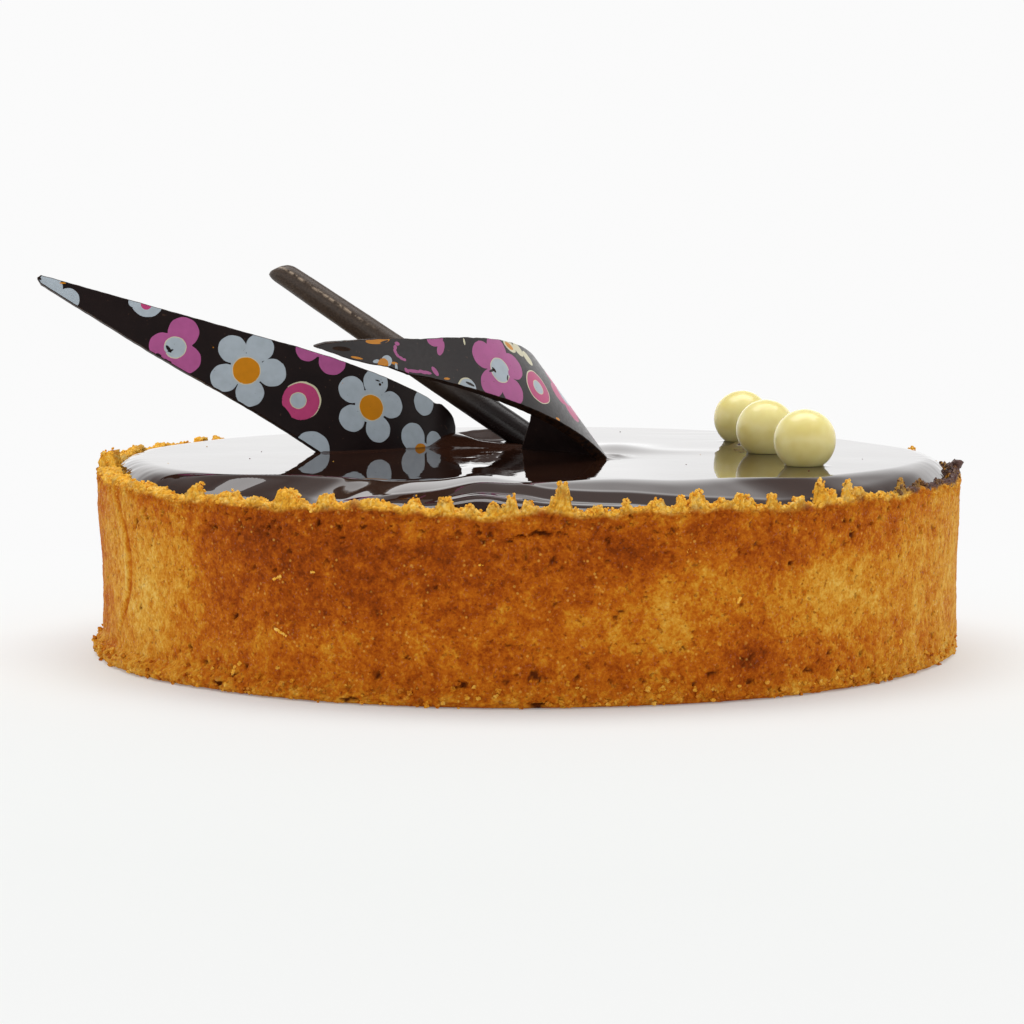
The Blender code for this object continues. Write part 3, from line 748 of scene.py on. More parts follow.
def pit_places():
    """All pits: the named large ones, then small ones, most of them high up or near the base."""
    dice = random.Random(CRUST_SEED)
    pits = []
    for degrees, height, half_length, half_height, depth in LARGE_PITS:
        pits.append((math.radians(degrees), height * MM, 0.8 * half_length * MM,
                     0.72 * half_height * MM, 0.7 * depth * MM))
    for _ in range(SMALL_PITS):
        pick = dice.random()
        if pick < 0.5:
            height = dice.gauss(14.0, 1.1)
        elif pick < 0.68:
            height = dice.gauss(2.1, 0.8)
        else:
            height = dice.uniform(2.5, 13.5)
        length = 0.11 + abs(dice.gauss(0, 0.10))
        pits.append((dice.uniform(-math.pi, math.pi), height * MM, length * MM,
                     length * dice.uniform(0.4, 0.9) * MM, length * dice.uniform(0.5, 1.0) * MM))
    return pits


def pit_depths(angle, height):
    """How deep each point of a column grid lies in a pit, and its share of that pit's depth."""
    share_in = np.zeros_like(angle)
    depth_in = np.zeros_like(angle)
    for at, level, half_length, half_height, deep in pit_places():
        along = arc_from(angle[:, 0], math.degrees(at)) * WALL_RADIUS / half_length
        near = np.abs(along) < 1.7
        if not near.any():
            continue
        along = along[near][:, None]
        up = (height[near] - level) / half_height
        ragged = 0.4 * np.sin(along * 4 + level / MM * 9) + 0.25 * np.sin(along * 9 + at * 7)
        share = np.clip(1.35 - along ** 2 - (up + ragged) ** 2, 0, 1)
        share_in[near] = np.maximum(share_in[near], share * min(1.0, deep / (0.3 * MM)))
        depth_in[near] = np.maximum(depth_in[near], share * deep)
    return share_in, depth_in


def crust_fold(angle, level):
    """The soft upright fold in the dough, from 0 to 1: its ridge, and the groove beside it."""
    fold = np.radians(FOLD_ANGLE + FOLD_SWAY * np.sin(math.pi * np.clip(level - 3, 0, 13) / 13))
    from_fold = signed(angle - fold) * WALL_RADIUS / MM
    groove = np.exp(-(from_fold / 0.28) ** 2) * np.clip((level - 2.5) / 2, 0, 1)
    ridge = np.exp(-((from_fold + 0.9) / 0.7) ** 2) * np.clip((level - 2) / 3, 0, 1)
    return ridge, groove


def foot_radius(angle):
    return FOOT_RADIUS - 0.12 * MM - FOOT_SHIFT * np.cos(angle) + wave(angle, WALL_WAVES)


def crust_texture(points, shape):
    """Noise over the crust, from lumps of some millimetres down to grit."""
    return (fractal_at(points, 3.4 * MM, 3, 3).reshape(shape),
            noise_at(points, 1.2 * MM, 6).reshape(shape),
            noise_at(points, 0.45 * MM, 5).reshape(shape),
            granules(points, 0.62 * MM, 1).reshape(shape),
            granules(points, 0.34 * MM, 2).reshape(shape))


def crust_zones(angle, height):
    """How far each point belongs to the torn rim and to the rough foot, from 0 to 1."""
    rim_zone = np.clip((height - rim_base(angle)[0] + 1.5 * MM) / (1.0 * MM), 0, 1)
    return rim_zone, np.exp(-(height / (1.9 * MM)) ** 2)


def crust_relief(angle, height, texture, zones):
    """How far each point of the crust is pushed out."""
    lumps, knobs, specks, grains, grit = texture
    rim_zone, foot_zone = zones
    ridge, groove = crust_fold(angle, height / MM)
    relief = 0.07 * lumps + 0.035 * knobs + 0.03 * specks + 0.035 * grains
    relief += foot_zone * (0.17 * knobs + 0.13 * grains + 0.07 * grit)
    relief += rim_zone * (0.20 * knobs + 0.20 * grains + 0.10 * grit + 0.06 * specks)
    relief += 0.16 * ridge - 0.16 * groove
    return relief * MM


def crust_marks(angle, height, texture, zones):
    """What the pastry's material reads besides the pits' painted shade, from 0 to 1, with painted shade
    in the crevices between grains.
    """
    lumps, knobs, _, grains, _ = texture
    rim_zone, foot_zone = zones
    ridge, groove = crust_fold(angle, height / MM)
    above_rim = height - rim_base(angle)[0]
    golden = 0.335 + 0.75 * area_strength(GOLDEN_AREAS, angle, height)
    golden -= area_strength(BROWNED_AREAS, angle, height)
    # Paler at the left and right sides: partly the pastry's own tone, partly painted light where the
    # sides catch the bright light from behind.
    golden += 0.16 * np.cos(angle) ** 8
    # The lumps, the foot and the fold's ridge are made paler; the darker fold groove is painted shade.
    golden += 0.10 * lumps + 0.16 * foot_zone + 0.12 * ridge - 0.25 * groove
    # Painted shade in the crevices between grains, most on the rim and the foot.
    crevice_shade = 0.55 * np.clip(-grains * 2 - 0.25, 0, 1) * (0.25 + 0.75 * np.maximum(rim_zone, foot_zone))
    fresh = np.clip((above_rim + (0.55 - 0.35 * lumps - 0.2 * knobs) * MM) / (0.5 * MM), 0, 1)
    stain = np.clip(bump(angle, STAIN_ANGLE, STAIN_SPREAD) * 1.7 + 0.5 * knobs, 0, 1)
    stain = stain * np.clip((above_rim + (0.35 + 0.3 * knobs) * MM) / (0.25 * MM), 0, 1)
    return {"golden": np.clip(golden, 0, 1), "fresh": fresh, "stain": stain, "crevice_shade": crevice_shade}


def skin(name, material, angles, sections, outer_rows):
    """A closed ring of pastry swept from sections, roughened, with what its material reads.

    sections[column] lists the section's points from the outer bottom over the top and back.
    """
    columns, rows = sections.shape[:2]
    angle = np.repeat(angles[:, None], rows, 1)
    radius = sections[:, :, 0]
    height = sections[:, :, 1]
    tangent = np.gradient(sections, axis=1)
    tangent /= np.linalg.norm(tangent, axis=2)[:, :, None] + 1e-9
    points = points_of(radius * np.cos(angle), radius * np.sin(angle), height)

    texture = crust_texture(points, radius.shape)
    zones = crust_zones(angle, height)
    pit, depth = pit_depths(angle, height)
    outer = np.arange(rows) < outer_rows
    keep = np.clip(height / (0.3 * MM), 0, 1)
    push = (crust_relief(angle, height, texture, zones) - depth * outer) * keep
    moved = radius + push * tangent[:, :, 1]
    raised = height - push * tangent[:, :, 0]
    points = points_of(moved * np.cos(angle), moved * np.sin(angle), raised)
    faces = grid_faces(columns, rows)
    for column in range(columns):
        here = column * rows
        there = (column + 1) % columns * rows
        faces.append((here, here + rows - 1, there + rows - 1, there))
    piece = new_piece(name, points, faces, material, ("pastry_case",))
    # Painted shade in the pits, on the outer skin only.
    set_values(piece, "pit", (pit * outer).ravel())
    for label, values in crust_marks(angle, height, texture, zones).items():
        set_values(piece, label, values.ravel())
    return piece


def swept_section(stops):
    """Even rows of points along a section that is given by (radius, height, rows) stops."""
    points = []
    for (radius, height, rows), (next_radius, next_height, _) in zip(stops, stops[1:]):
        for row in range(rows):
            share = row / rows
            points.append((radius + (next_radius - radius) * share,
                           height + (next_height - height) * share))
    points.append(stops[-1][:2])
    return points


def make_wall(material):
    """The case's base and its wall up to just under the rim."""
    angles = FULL_TURN * np.arange(WALL_COLUMNS) / WALL_COLUMNS - math.pi
    sections = []
    for angle, sway, edge, inner in zip(angles, wall_sway(angles), rim_edge(angles),
                                        inner_radius(angles)):
        foot = foot_radius(angle)
        wall = WALL_RADIUS + sway
        sections.append(swept_section((
            (0.2 * foot, 0.0, 2), (foot - 0.9 * MM, 0.0, 2), (foot - 0.25 * MM, 0.12 * MM, 4),
            (foot, 0.45 * MM, 5), (foot - 0.1 * MM, 1.0 * MM, 5), (wall + 0.02 * MM, 1.8 * MM, 8),
            (wall, 3.8 * MM, 20), (wall, 8.0 * MM, 29),
            (edge, 13.6 * MM, 3), (edge, RIM_START, 2), (edge - 0.25 * MM, RIM_START + 0.3 * MM, 1),
            (inner, RIM_START + 0.3 * MM, 1), (inner, FLOOR_THICKNESS, 1),
            (0.2 * foot, FLOOR_THICKNESS, 1))))
    return skin("pastry_wall", material, angles, np.array(sections), 79)


def make_rim(material):
    """The torn rim, with its standing crumbs."""
    angles = FULL_TURN * np.arange(RIM_COLUMNS) / RIM_COLUMNS - math.pi
    rims, _ = rim_base(angles)
    rises = rim_rise(angles)
    sections = []
    for rim, rise, edge, inner in zip(rims, rises, rim_edge(angles), inner_radius(angles)):
        sections.append(swept_section((
            (edge - 0.7 * MM, RIM_START - 0.5 * MM, 1), (edge, RIM_START - 0.1 * MM, 9),
            (edge, rim - 1.0 * MM, 6), (edge - 0.05 * MM, rim - 0.35 * MM + 0.2 * rise, 5),
            (edge - 0.3 * MM, rim + 0.85 * rise, 3), (edge - 0.6 * MM, rim + 0.08 * MM + rise, 4),
            (inner + 0.45 * MM, rim + 0.05 * MM + 0.95 * rise, 4),
            (inner + 0.15 * MM, rim - 0.3 * MM + 0.4 * rise, 5), (inner, rim - 1.1 * MM, 2),
            (inner, RIM_START - 0.5 * MM, 1))))
    return skin("pastry_rim", material, angles, np.array(sections), 22)


def points_and_faces(ball):
    """Takes the points and faces out of a bmesh, and frees it."""
    points = [vert.co.copy() for vert in ball.verts]
    faces = [[vert.index for vert in face.verts] for face in ball.faces]
    ball.free()
    return points, faces


def lump_shapes(count, seed):
    """A few irregular crumb shapes about one unit in radius."""
    shapes = []
    for index in range(count):
        ball = bmesh.new()
        bmesh.ops.create_icosphere(ball, subdivisions=2, radius=1.0)
        for vert in ball.verts:
            swell = noise.noise(vert.co * 1.1 + Vector((seed * 3.1, index * 7.7, 0)))
            grit = noise.noise(vert.co * 2.9 + Vector((0, seed * 5.3, index * 3.9)))
            vert.co *= 1 + 0.7 * swell + 0.55 * grit
        shapes.append([np.array(part) for part in points_and_faces(ball)])
    return shapes


def scatter_lumps(name, places, seed, material, smooth=False):
    """One mesh of many lumps. places: (centre, radius, stretch along X, Y and Z)."""
    dice = random.Random(seed)
    shapes = lump_shapes(11, seed)
    all_points = []
    all_faces = []
    start = 0
    for centre, radius, stretch in places:
        points, faces = shapes[dice.randrange(len(shapes))]
        axis = Vector((dice.gauss(0, 1), dice.gauss(0, 1), dice.gauss(0, 1))).normalized()
        turn = np.array(Matrix.Rotation(dice.uniform(0, FULL_TURN), 3, axis))
        all_points.append(points @ turn.T * radius * np.array(stretch) + np.array(centre))
        all_faces.append(faces + start)
        start += len(points)
    return new_piece(name, np.concatenate(all_points), np.concatenate(all_faces).tolist(), material,
                     smooth=smooth)


def mark_crumbs(piece, **values):
    """Gives every crumb of a piece its own numbers for the material to read."""
    count = len(next(iter(values.values())))
    per_crumb = len(piece.data.vertices) // count
    for label in ("golden", "pit", "fresh", "stain", "crevice_shade"):
        numbers = values.get(label, [0.0] * count)
        set_values(piece, label, np.repeat(numbers, per_crumb))


def make_rim_crumbs(material):
    """Crumbs of torn pastry that cling to the crest and build up its standing peaks."""
    dice = random.Random(21)
    places = []
    stains = []

    def cling(angle, share, lift, size):
        stained = float(bump(np.array(angle), STAIN_ANGLE, STAIN_SPREAD)) > 0.2
        if stained and dice.random() < 0.5:
            return
        stains.append(0.9 if stained and dice.random() < 0.93 else 0.0)
        rim = float(rim_base(np.array(angle))[0])
        edge = float(rim_edge(np.array(angle))) - 0.1 * MM
        inner = float(inner_radius(angle)) + 0.1 * MM
        reach = inner + (edge - inner) * share
        places.append((around(angle, reach, rim + lift), size, (1.0, 1.0, 1.0)))

    for _ in range(RIM_CRUMBS):
        angle = dice.uniform(-math.pi, math.pi)
        share = dice.uniform(0.05, 1.0)
        size = dice.uniform(*RIM_CRUMB_SIZE) * dice.uniform(0.5, 1.0)
        rise = float(rim_rise(np.array([angle]))[0])
        arch = 1 - abs(2 * share - 1) ** 3
        cling(angle, share, (rise + 0.35 * MM) * arch - 0.35 * MM + dice.gauss(0, 0.1) * MM, size)
    for degrees, top, width, lean in RIM_PEAKS:
        for _ in range(int(3 + top * 14)):
            climb = dice.random() ** 0.7
            narrow = 1 - 0.45 * climb
            side = dice.choice((-0.5, 0.5)) * dice.uniform(0.6, 1.1) * width * narrow
            angle = math.radians(degrees) + (side + lean * climb) * MM / TOP_RADIUS
            size = (0.21 - 0.09 * climb) * MM * dice.uniform(0.6, 1.15)
            cling(angle, dice.uniform(0.2, 0.85), (top * climb + 0.05) * MM, size)
    piece = scatter_lumps("rim_crumbs", places, 31, material)
    mark_crumbs(piece, fresh=[dice.uniform(0.75, 1.0) for _ in places], stain=stains,
                golden=[dice.uniform(0.3, 0.9) for _ in places])
    return piece


def make_foot_crumbs(material):
    """Crumbs that cling along the foot, and flakes stuck to the wall."""
    dice = random.Random(5)
    places = []
    for _ in range(FOOT_CRUMBS):
        angle = dice.uniform(-math.pi, math.pi)
        size = dice.uniform(*FOOT_CRUMB_SIZE)
        level = min(2.4, abs(dice.gauss(0.2, 1.0))) * MM + 0.7 * size
        foot = foot_radius(angle)
        wall = WALL_RADIUS + float(wall_sway(angle))
        reach = foot + (wall - foot) * unit(level / MM - 1.3)
        reach -= dice.uniform(0.2, 0.9) * size
        places.append((around(angle, reach, level), size, (1.0, 1.0, 0.85)))
    count = len(places)
    for degrees, height, half_length, turn in FLAKES:
        angle = math.radians(degrees)
        reach = WALL_RADIUS + float(wall_sway(angle)) + 0.05 * MM
        for step in range(-3, 4):
            along = step / 3 * half_length
            arc = angle + along * math.cos(math.radians(turn)) * MM / WALL_RADIUS
            level = (height + along * math.sin(math.radians(turn))) * MM
            places.append((around(arc, reach, level), 0.12 * MM, (1.0, 1.0, 0.9)))
    piece = scatter_lumps("foot_crumbs", places, 41, material)
    flakes = len(places) - count
    mark_crumbs(piece, fresh=[dice.uniform(0.0, 0.35) for _ in range(count)] + [1.0] * flakes,
                golden=[dice.uniform(0.3, 0.75) for _ in range(count)] + [1.0] * flakes)
    return piece


def make_rim_drips(material):
    places = [(around(math.radians(degrees), reach * MM, height * MM), size * MM, (1.0, 1.0, 1.0))
              for degrees, reach, height, size in RIM_DRIPS]
    scatter_lumps("rim_drips", places, 71, material, smooth=True)


def make_specks(material):
    """Tiny crumbs that fell on the glaze."""
    places = []
    for x, y, size in GLAZE_SPECKS:
        size *= 0.6
        places.append(((x * MM, y * MM, FILLING_TOP + 0.3 * size * MM), size * MM, (1.0, 1.0, 0.7)))
    piece = scatter_lumps("glaze_specks", places, 51, material)
    pale = [1.0 if index % 3 == 0 else 0.0 for index in range(len(places))]
    mark_crumbs(piece, fresh=pale, stain=[0.5 - 0.5 * value for value in pale])
    return piece


# ================================================================ glaze

def frame_along(axis, side, origin):
    """A matrix with Z along the axis and X along the side."""
    turn = Matrix((side, axis.cross(side), axis)).transposed()
    return Matrix.Translation(origin) @ turn.to_4x4()


def curl_matrix():
    """The curl's frame: Z along its axis, X level with the side that faces right and up."""
    level = math.cos(CURL_AXIS_RISE)
    axis = Vector((-level * math.cos(CURL_AXIS_HEADING), -level * math.sin(CURL_AXIS_HEADING),
                   math.sin(CURL_AXIS_RISE)))
    return frame_along(axis, Vector((0.0, 1.0, 0.0)).cross(axis).normalized(), CURL_AXIS_POINT)


def long_matrix():
    return Matrix.Translation(LONG_TIP) @ Matrix.Rotation(-LONG_LEAN, 4, "X")


def long_bend(along):
    """Where the long plate's plan curve is after a length from the tip, and its heading."""
    straight = min(along, LONG_BEND_START)
    turn = (along - straight) / LONG_BEND_RADIUS
    heading = LONG_HEADING + turn
    x = straight * math.cos(LONG_HEADING)
    y = straight * math.sin(LONG_HEADING)
    x += LONG_BEND_RADIUS * (math.sin(heading) - math.sin(LONG_HEADING))
    y += LONG_BEND_RADIUS * (math.cos(LONG_HEADING) - math.cos(heading))
    return x, y, heading


def long_across(along, height):
    """How far across the long plate a level height lies, at a length from the tip."""
    set_back = long_bend(along)[1] * math.sin(LONG_LEAN)
    return (height - LONG_TIP.z + set_back) / math.cos(LONG_LEAN)


def long_place(along, across, depth):
    x, y, heading = long_bend(along)
    return (x - depth * math.sin(heading), y + depth * math.cos(heading), across)


def curl_place(along, across, depth):
    angle = CURL_START - along / CURL_RADIUS
    radius = CURL_RADIUS - depth
    return (radius * math.cos(angle), radius * math.sin(angle), across)


def sagging(start, end, share):
    """A point part of the way along the curled plate's foot, which sags in its middle."""
    point = start.lerp(end, share)
    point.y -= CURL_FOOT_SAG * 4 * share * (1 - share)
    return point


def foot_lines():
    """Where the two plates enter the glaze, as lists of points on the plates' middle."""
    middle = PLATE_THICKNESS / 2
    long_line = []
    for along in np.linspace(*LONG_FOOT, 20):
        across = long_across(along, FILLING_TOP)
        long_line.append((long_matrix() @ Vector(long_place(along, across, middle))).to_2d())
    curl_line = []
    for share in np.linspace(0, 1, 16):
        point = sagging(Vector((0, 0)), CURL_FRONT_FOOT, share)
        curl_line.append((curl_matrix() @ Vector(curl_place(point.x, point.y, middle))).to_2d())
    return long_line, curl_line


def distance_to_line(x, y, line):
    nearest = np.full_like(x, 1.0)
    for start, end in zip(line, line[1:]):
        run = np.array(end) - np.array(start)
        length = run @ run
        share = np.clip(((x - start[0]) * run[0] + (y - start[1]) * run[1]) / length, 0, 1)
        gap = np.hypot(x - start[0] - share * run[0], y - start[1] - share * run[1])
        nearest = np.minimum(nearest, gap)
    return nearest


def smooth_step(value):
    value = np.clip(value, 0, 1)
    return value * value * (3 - 2 * value)


def glaze_slopes(angle, from_edge, waver):
    """The slope of the glaze: flat, then sloping at the front, then a steeper side below a shelf."""
    table = np.array(GLAZE_SLOPE)
    degrees = np.degrees(signed(angle))
    dial = np.arange(-200.0, 200.5, 0.5)
    window = np.exp(-(np.arange(-10, 11) * 0.5 / SLOPE_SMOOTHING) ** 2)
    start, shelf, soft, fall = [
        np.interp(degrees, dial, np.convolve(np.interp((dial + 180) % 360 - 180, table[:, 0],
                                                       table[:, column]),
                                             window / window.sum(), "same"))
        for column in (1, 2, 3, 4)]
    front = bump(angle, FILLING_SLOPE_ANGLE, FILLING_SLOPE_SPREAD)
    inward = start - from_edge / MM
    first = smooth_step(inward / (0.35 * soft))
    slope = fall * (0.38 * first + 0.62 * smooth_step(inward / soft))
    beyond = shelf + 0.5 * waver - from_edge / MM
    slope -= 0.06 * front * np.exp(-(beyond / 0.22) ** 2) * first
    steep = smooth_step((beyond - 0.25) / 0.4)
    flatter = smooth_step((beyond - 2.4) / 0.8)
    return slope * (1 - 0.8 * flatter * front) + 0.13 * (0.5 + 0.5 * front) * steep * (1 - flatter)


def pile(x, behind, crests, length):
    """The height of glaze piled up along crests, straight in front and fading out behind, in mm."""
    places, heights = np.array(crests).T
    front = np.interp(x, places, heights) - RIDGE_SLOPE * np.clip(-behind, 0, None)
    return np.clip(front, 0, None) * np.exp(-(np.clip(behind, 0, None) / length) ** 2)


def oval_hill(x, y, centre_x, centre_y, half_x, half_y):
    """1 at the centre, falling off smoothly over the half widths."""
    return np.exp(-((x - centre_x) / half_x) ** 2 - ((y - centre_y) / half_y) ** 2)


def wrinkle(height, angle, x, y, from_edge):
    """Adds the short wrinkles along the edge and the faint waves of the top."""
    def waves(places, size, seed):
        return noise_at(places, size, seed).reshape(x.shape)

    flat = points_of(x, y, 0 * x)
    along_edge = points_of(angle * 33, 0 * angle, from_edge / MM * 0.35)
    banded = flat * (0.35, 1.0, 1.0)
    ends = bump(angle, math.radians(188), math.radians(46)) + 0.8 * bump(angle, 0.0, math.radians(30))
    height += GLAZE_WRINKLE * ends * waves(along_edge, 1.0, 13) * np.exp(-(from_edge / (1.7 * MM)) ** 2)
    height += 0.04 * MM * waves(along_edge, 0.6, 14) * np.exp(-(from_edge / MM) ** 2)
    for rise, size, seed in GLAZE_WAVES:
        height += rise * MM * waves(flat, size * MM, seed)
    for centre_x, centre_y, half_x, half_y, rise, size, seed in GLAZE_STIRRED:
        stirred = oval_hill(x, y, centre_x * MM, centre_y * MM, half_x * MM, half_y * MM)
        height += rise * MM * stirred * waves(banded, size * MM, seed)


def heap_up(height, x, y):
    """Adds what is pushed up: faint rises to the front, the ridge, the mound and the swells."""
    for centre, half_width, start, square, rise in GLAZE_TILTS:
        share = np.exp(-((x - centre) / half_width) ** square)
        height += rise * share * np.clip(start - y, 0, TILT_LENGTH) * MM
    bow = RIDGE_BOW * np.exp(-((x + 7) / 2.5) ** 2)
    ridge = pile(x, y - RIDGE_PLACE - bow, GLAZE_RIDGE, RIDGE_LENGTH)
    mound = pile(x, y - MOUND_PLACE, GLAZE_MOUND, MOUND_LENGTH)
    height += np.maximum(ridge, mound) * MM
    for *place, rise in GLAZE_SWELLS:
        height += rise * MM * oval_hill(x, y, *place)


def creep_up(height, x, y):
    """Adds the small rise of the glaze against the plates and the pearls."""
    for line in foot_lines():
        gap = np.clip(distance_to_line(x, y, line) - PLATE_THICKNESS / 2, 0, None)
        height += PLATE_CREEP * np.exp(-gap / CREEP_WIDTH)
    for name in PEARLS:
        low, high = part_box(name)
        middle = (low + high) / 2
        ball = (high.x - low.x) / 2
        contact = math.sqrt(ball ** 2 - (ball - PEARL_SINK) ** 2)
        gap = np.clip(np.hypot(x - middle.x, y - middle.y) - contact, 0, None)
        height += PEARL_CREEP * np.exp(-gap / CREEP_WIDTH)


def make_glaze(material):
    """The filling: its shining top, a plain side just inside the pastry, and a flat underside."""
    angles = FULL_TURN * np.arange(GLAZE_SEGMENTS) / GLAZE_SEGMENTS
    shares = np.sin(np.linspace(0, 1, GLAZE_RINGS + 1)[1:] * math.pi / 2) ** 0.9
    at_left = bump(angles, math.pi, math.radians(55))
    side = inner_radius(angles) + (0.12 + 0.65 * at_left) * MM
    angle = np.repeat(angles[:, None], GLAZE_RINGS, 1)
    radius = side[:, None] * shares[None, :]
    x = radius * np.cos(angle)
    y = radius * np.sin(angle)
    from_edge = side[:, None] - radius
    waver = noise_at(points_of(x, y, 0 * x), 6 * MM, 12).reshape(x.shape)
    slopes = glaze_slopes(angle, from_edge, waver)
    height = FILLING_TOP - np.cumsum(slopes * np.diff(radius, axis=1, prepend=0), axis=1)

    front = bump(angle, FILLING_SLOPE_ANGLE, FILLING_SLOPE_SPREAD)
    lip = np.clip(1 - from_edge / (FILLING_ROUND * (1 - 0.35 * front)), 0, 1)
    all_round, less_at_left, in_front = GLAZE_EDGE_DROP
    drop = (all_round - less_at_left * at_left[:, None]) * (1 - front) + in_front * front
    height -= drop * MM * lip ** 2.6
    wrinkle(height, angle, x, y, from_edge)
    heap_up(height, x / MM, y / MM)
    creep_up(height, x, y)

    points = points_of(x, y, height)
    faces = grid_faces(GLAZE_SEGMENTS, GLAZE_RINGS)
    middle = len(points)
    under = middle + 1
    deep = FLOOR_THICKNESS + CLEARANCE
    lower = points_of(side * np.cos(angles), side * np.sin(angles), np.full_like(angles, deep))
    points = np.concatenate([points, [(0, 0, float(np.mean(height[:, 0])))], lower, [(0, 0, deep)]])
    last = len(points) - 1
    for column in range(GLAZE_SEGMENTS):
        following = (column + 1) % GLAZE_SEGMENTS
        outer = column * GLAZE_RINGS + GLAZE_RINGS - 1
        outer_next = following * GLAZE_RINGS + GLAZE_RINGS - 1
        faces.append((following * GLAZE_RINGS, column * GLAZE_RINGS, middle))
        faces.append((outer_next, under + following, under + column, outer))
        faces.append((under + following, last, under + column))
    glaze = new_piece("glaze_surface", points, faces, material,
                      ("chocolate_filling",))
    turn_outward(glaze)
    return glaze


# ================================================================ printed plates

def oval_of(shape):
    """The centre, half lengths and turn of a printed disc or oval."""
    _, along, across, half_along, *rest = shape
    half_across = rest[0] if rest else half_along
    turn = math.radians(rest[1]) if len(rest) > 1 else 0.0
    return along, across, half_along, half_across, math.cos(turn), math.sin(turn)


def covers(shape, along, across):
    centre_along, centre_across, half_along, half_across, cosine, sine = oval_of(shape)
    side = along / MM - centre_along
    rise = across / MM - centre_across
    first = (side * cosine + rise * sine) / half_along
    second = (rise * cosine - side * sine) / half_across
    return first * first + second * second < 1


def shape_outline(shape):
    along, across, half_along, half_across, cosine, sine = oval_of(shape)
    points = []
    for index in range(PRINT_SIDES):
        angle = FULL_TURN * index / PRINT_SIDES
        # A printed edge is never quite even
        wobble = 1 + 0.012 * math.sin(3 * angle + along) + 0.008 * math.sin(8 * angle + across)
        first = half_along * math.cos(angle) * wobble
        second = half_across * math.sin(angle) * wobble
        points.append(((along + first * cosine - second * sine) * MM,
                       (across + first * sine + second * cosine) * MM))
    return points


def resample(outline, step, ragged, seed):
    """Points at even steps round a closed outline, each moved a little for a broken edge."""
    points = []
    for start, end in zip(outline, outline[1:] + outline[:1]):
        start = Vector(start)
        end = Vector(end)
        count = max(1, round((end - start).length / step))
        across = Vector((start.y - end.y, end.x - start.x)).normalized()
        for index in range(count):
            point = start.lerp(end, index / count)
            shift = noise.noise(Vector((point.x, point.y, seed * MM)) / (0.7 * MM))
            shift += 0.6 * noise.noise(Vector((point.x, point.y, seed * MM)) / (0.3 * MM))
            points.append(point + across * shift * ragged)
    return points


def inset(outline, amount):
    """Moves a closed, counterclockwise outline inward."""
    moved = []
    for index, point in enumerate(outline):
        before = outline[index - 1]
        after = outline[(index + 1) % len(outline)]
        run = (after - before).normalized()
        moved.append(point + Vector((-run.y, run.x)) * amount)
    return moved


def inside_polygon(x, y, outline):
    odd = False
    for index, point in enumerate(outline):
        before = outline[index - 1]
        if (point[1] > y) != (before[1] > y):
            crossing = point[0] + (y - point[1]) / (before[1] - point[1]) * (before[0] - point[0])
            if x < crossing:
                odd = not odd
    return odd


def flat_sheet(outline, prints):
    """Triangles that fill an outline, split along every printed shape's edge, with colours."""
    points = [Vector(point) for point in outline]
    edges = [(index, (index + 1) % len(outline)) for index in range(len(outline))]
    for shape in prints:
        start = len(points)
        ring = shape_outline(shape)
        points += [Vector(point) for point in ring]
        edges += [(start + index, start + (index + 1) % len(ring)) for index in range(len(ring))]
    low = [min(point[axis] for point in outline) for axis in (0, 1)]
    high = [max(point[axis] for point in outline) for axis in (0, 1)]
    for column in range(int((high[0] - low[0]) / PRINT_GRID) + 1):
        for row in range(int((high[1] - low[1]) / PRINT_GRID) + 1):
            shift = 0.5 * (column % 2)
            point = Vector((low[0] + column * PRINT_GRID, low[1] + (row + shift) * PRINT_GRID))
            if inside_polygon(point.x, point.y, outline):
                points.append(point)
    verts, _, faces, *_ = delaunay_2d_cdt(points, edges, [], 0, 1e-7)
    kept = []
    colours = []
    for face in faces:
        corners = [verts[index] for index in face]
        middle = sum(corners, Vector((0, 0))) / len(corners)
        if not inside_polygon(middle.x, middle.y, outline):
            continue
        colour = BARE
        for shape in prints:
            if covers(shape, middle.x, middle.y):
                colour = shape[0]
        kept.append(tuple(face))
        colours.append(colour)
    return verts, kept, colours


def make_plate(name, node, outline, prints, place, matrix, materials, ragged, seed):
    """A thin plate: a printed face at depth 0, a plain back, and chamfered broken edges."""
    edge = resample(outline, OUTLINE_STEP, ragged, seed)
    trimmed = inset(edge, CHAMFER)
    points = []
    faces = []
    colours = []
    index_of = {}

    def point_at(flat, depth):
        key = (round(flat[0] * 1e8), round(flat[1] * 1e8), round(depth * 1e8))
        if key not in index_of:
            index_of[key] = len(points)
            points.append(matrix @ Vector(place(flat[0], flat[1], depth)))
        return index_of[key]

    for depth, shapes in ((0.0, prints), (PLATE_THICKNESS, [])):
        verts, sheet, sheet_colours = flat_sheet(trimmed, shapes)
        for face, colour in zip(sheet, sheet_colours):
            corners = [point_at(verts[index], depth) for index in face]
            faces.append(corners)
            colours.append(colour)
    levels = ((trimmed, 0.0), (edge, CHAMFER), (edge, PLATE_THICKNESS - CHAMFER),
              (trimmed, PLATE_THICKNESS))
    for (line, depth), (next_line, next_depth) in zip(levels, levels[1:]):
        for index in range(len(edge)):
            after = (index + 1) % len(edge)
            faces.append((point_at(line[index], depth), point_at(line[after], depth),
                          point_at(next_line[after], next_depth),
                          point_at(next_line[index], next_depth)))
            colours.append(EDGE)
    plate = new_piece(name, points, faces, materials, (node,))
    plate.data.polygons.foreach_set("material_index", colours)
    turn_outward(plate, 1e-6)
    plate.data.set_sharp_from_angle(angle=math.radians(28))
    return plate


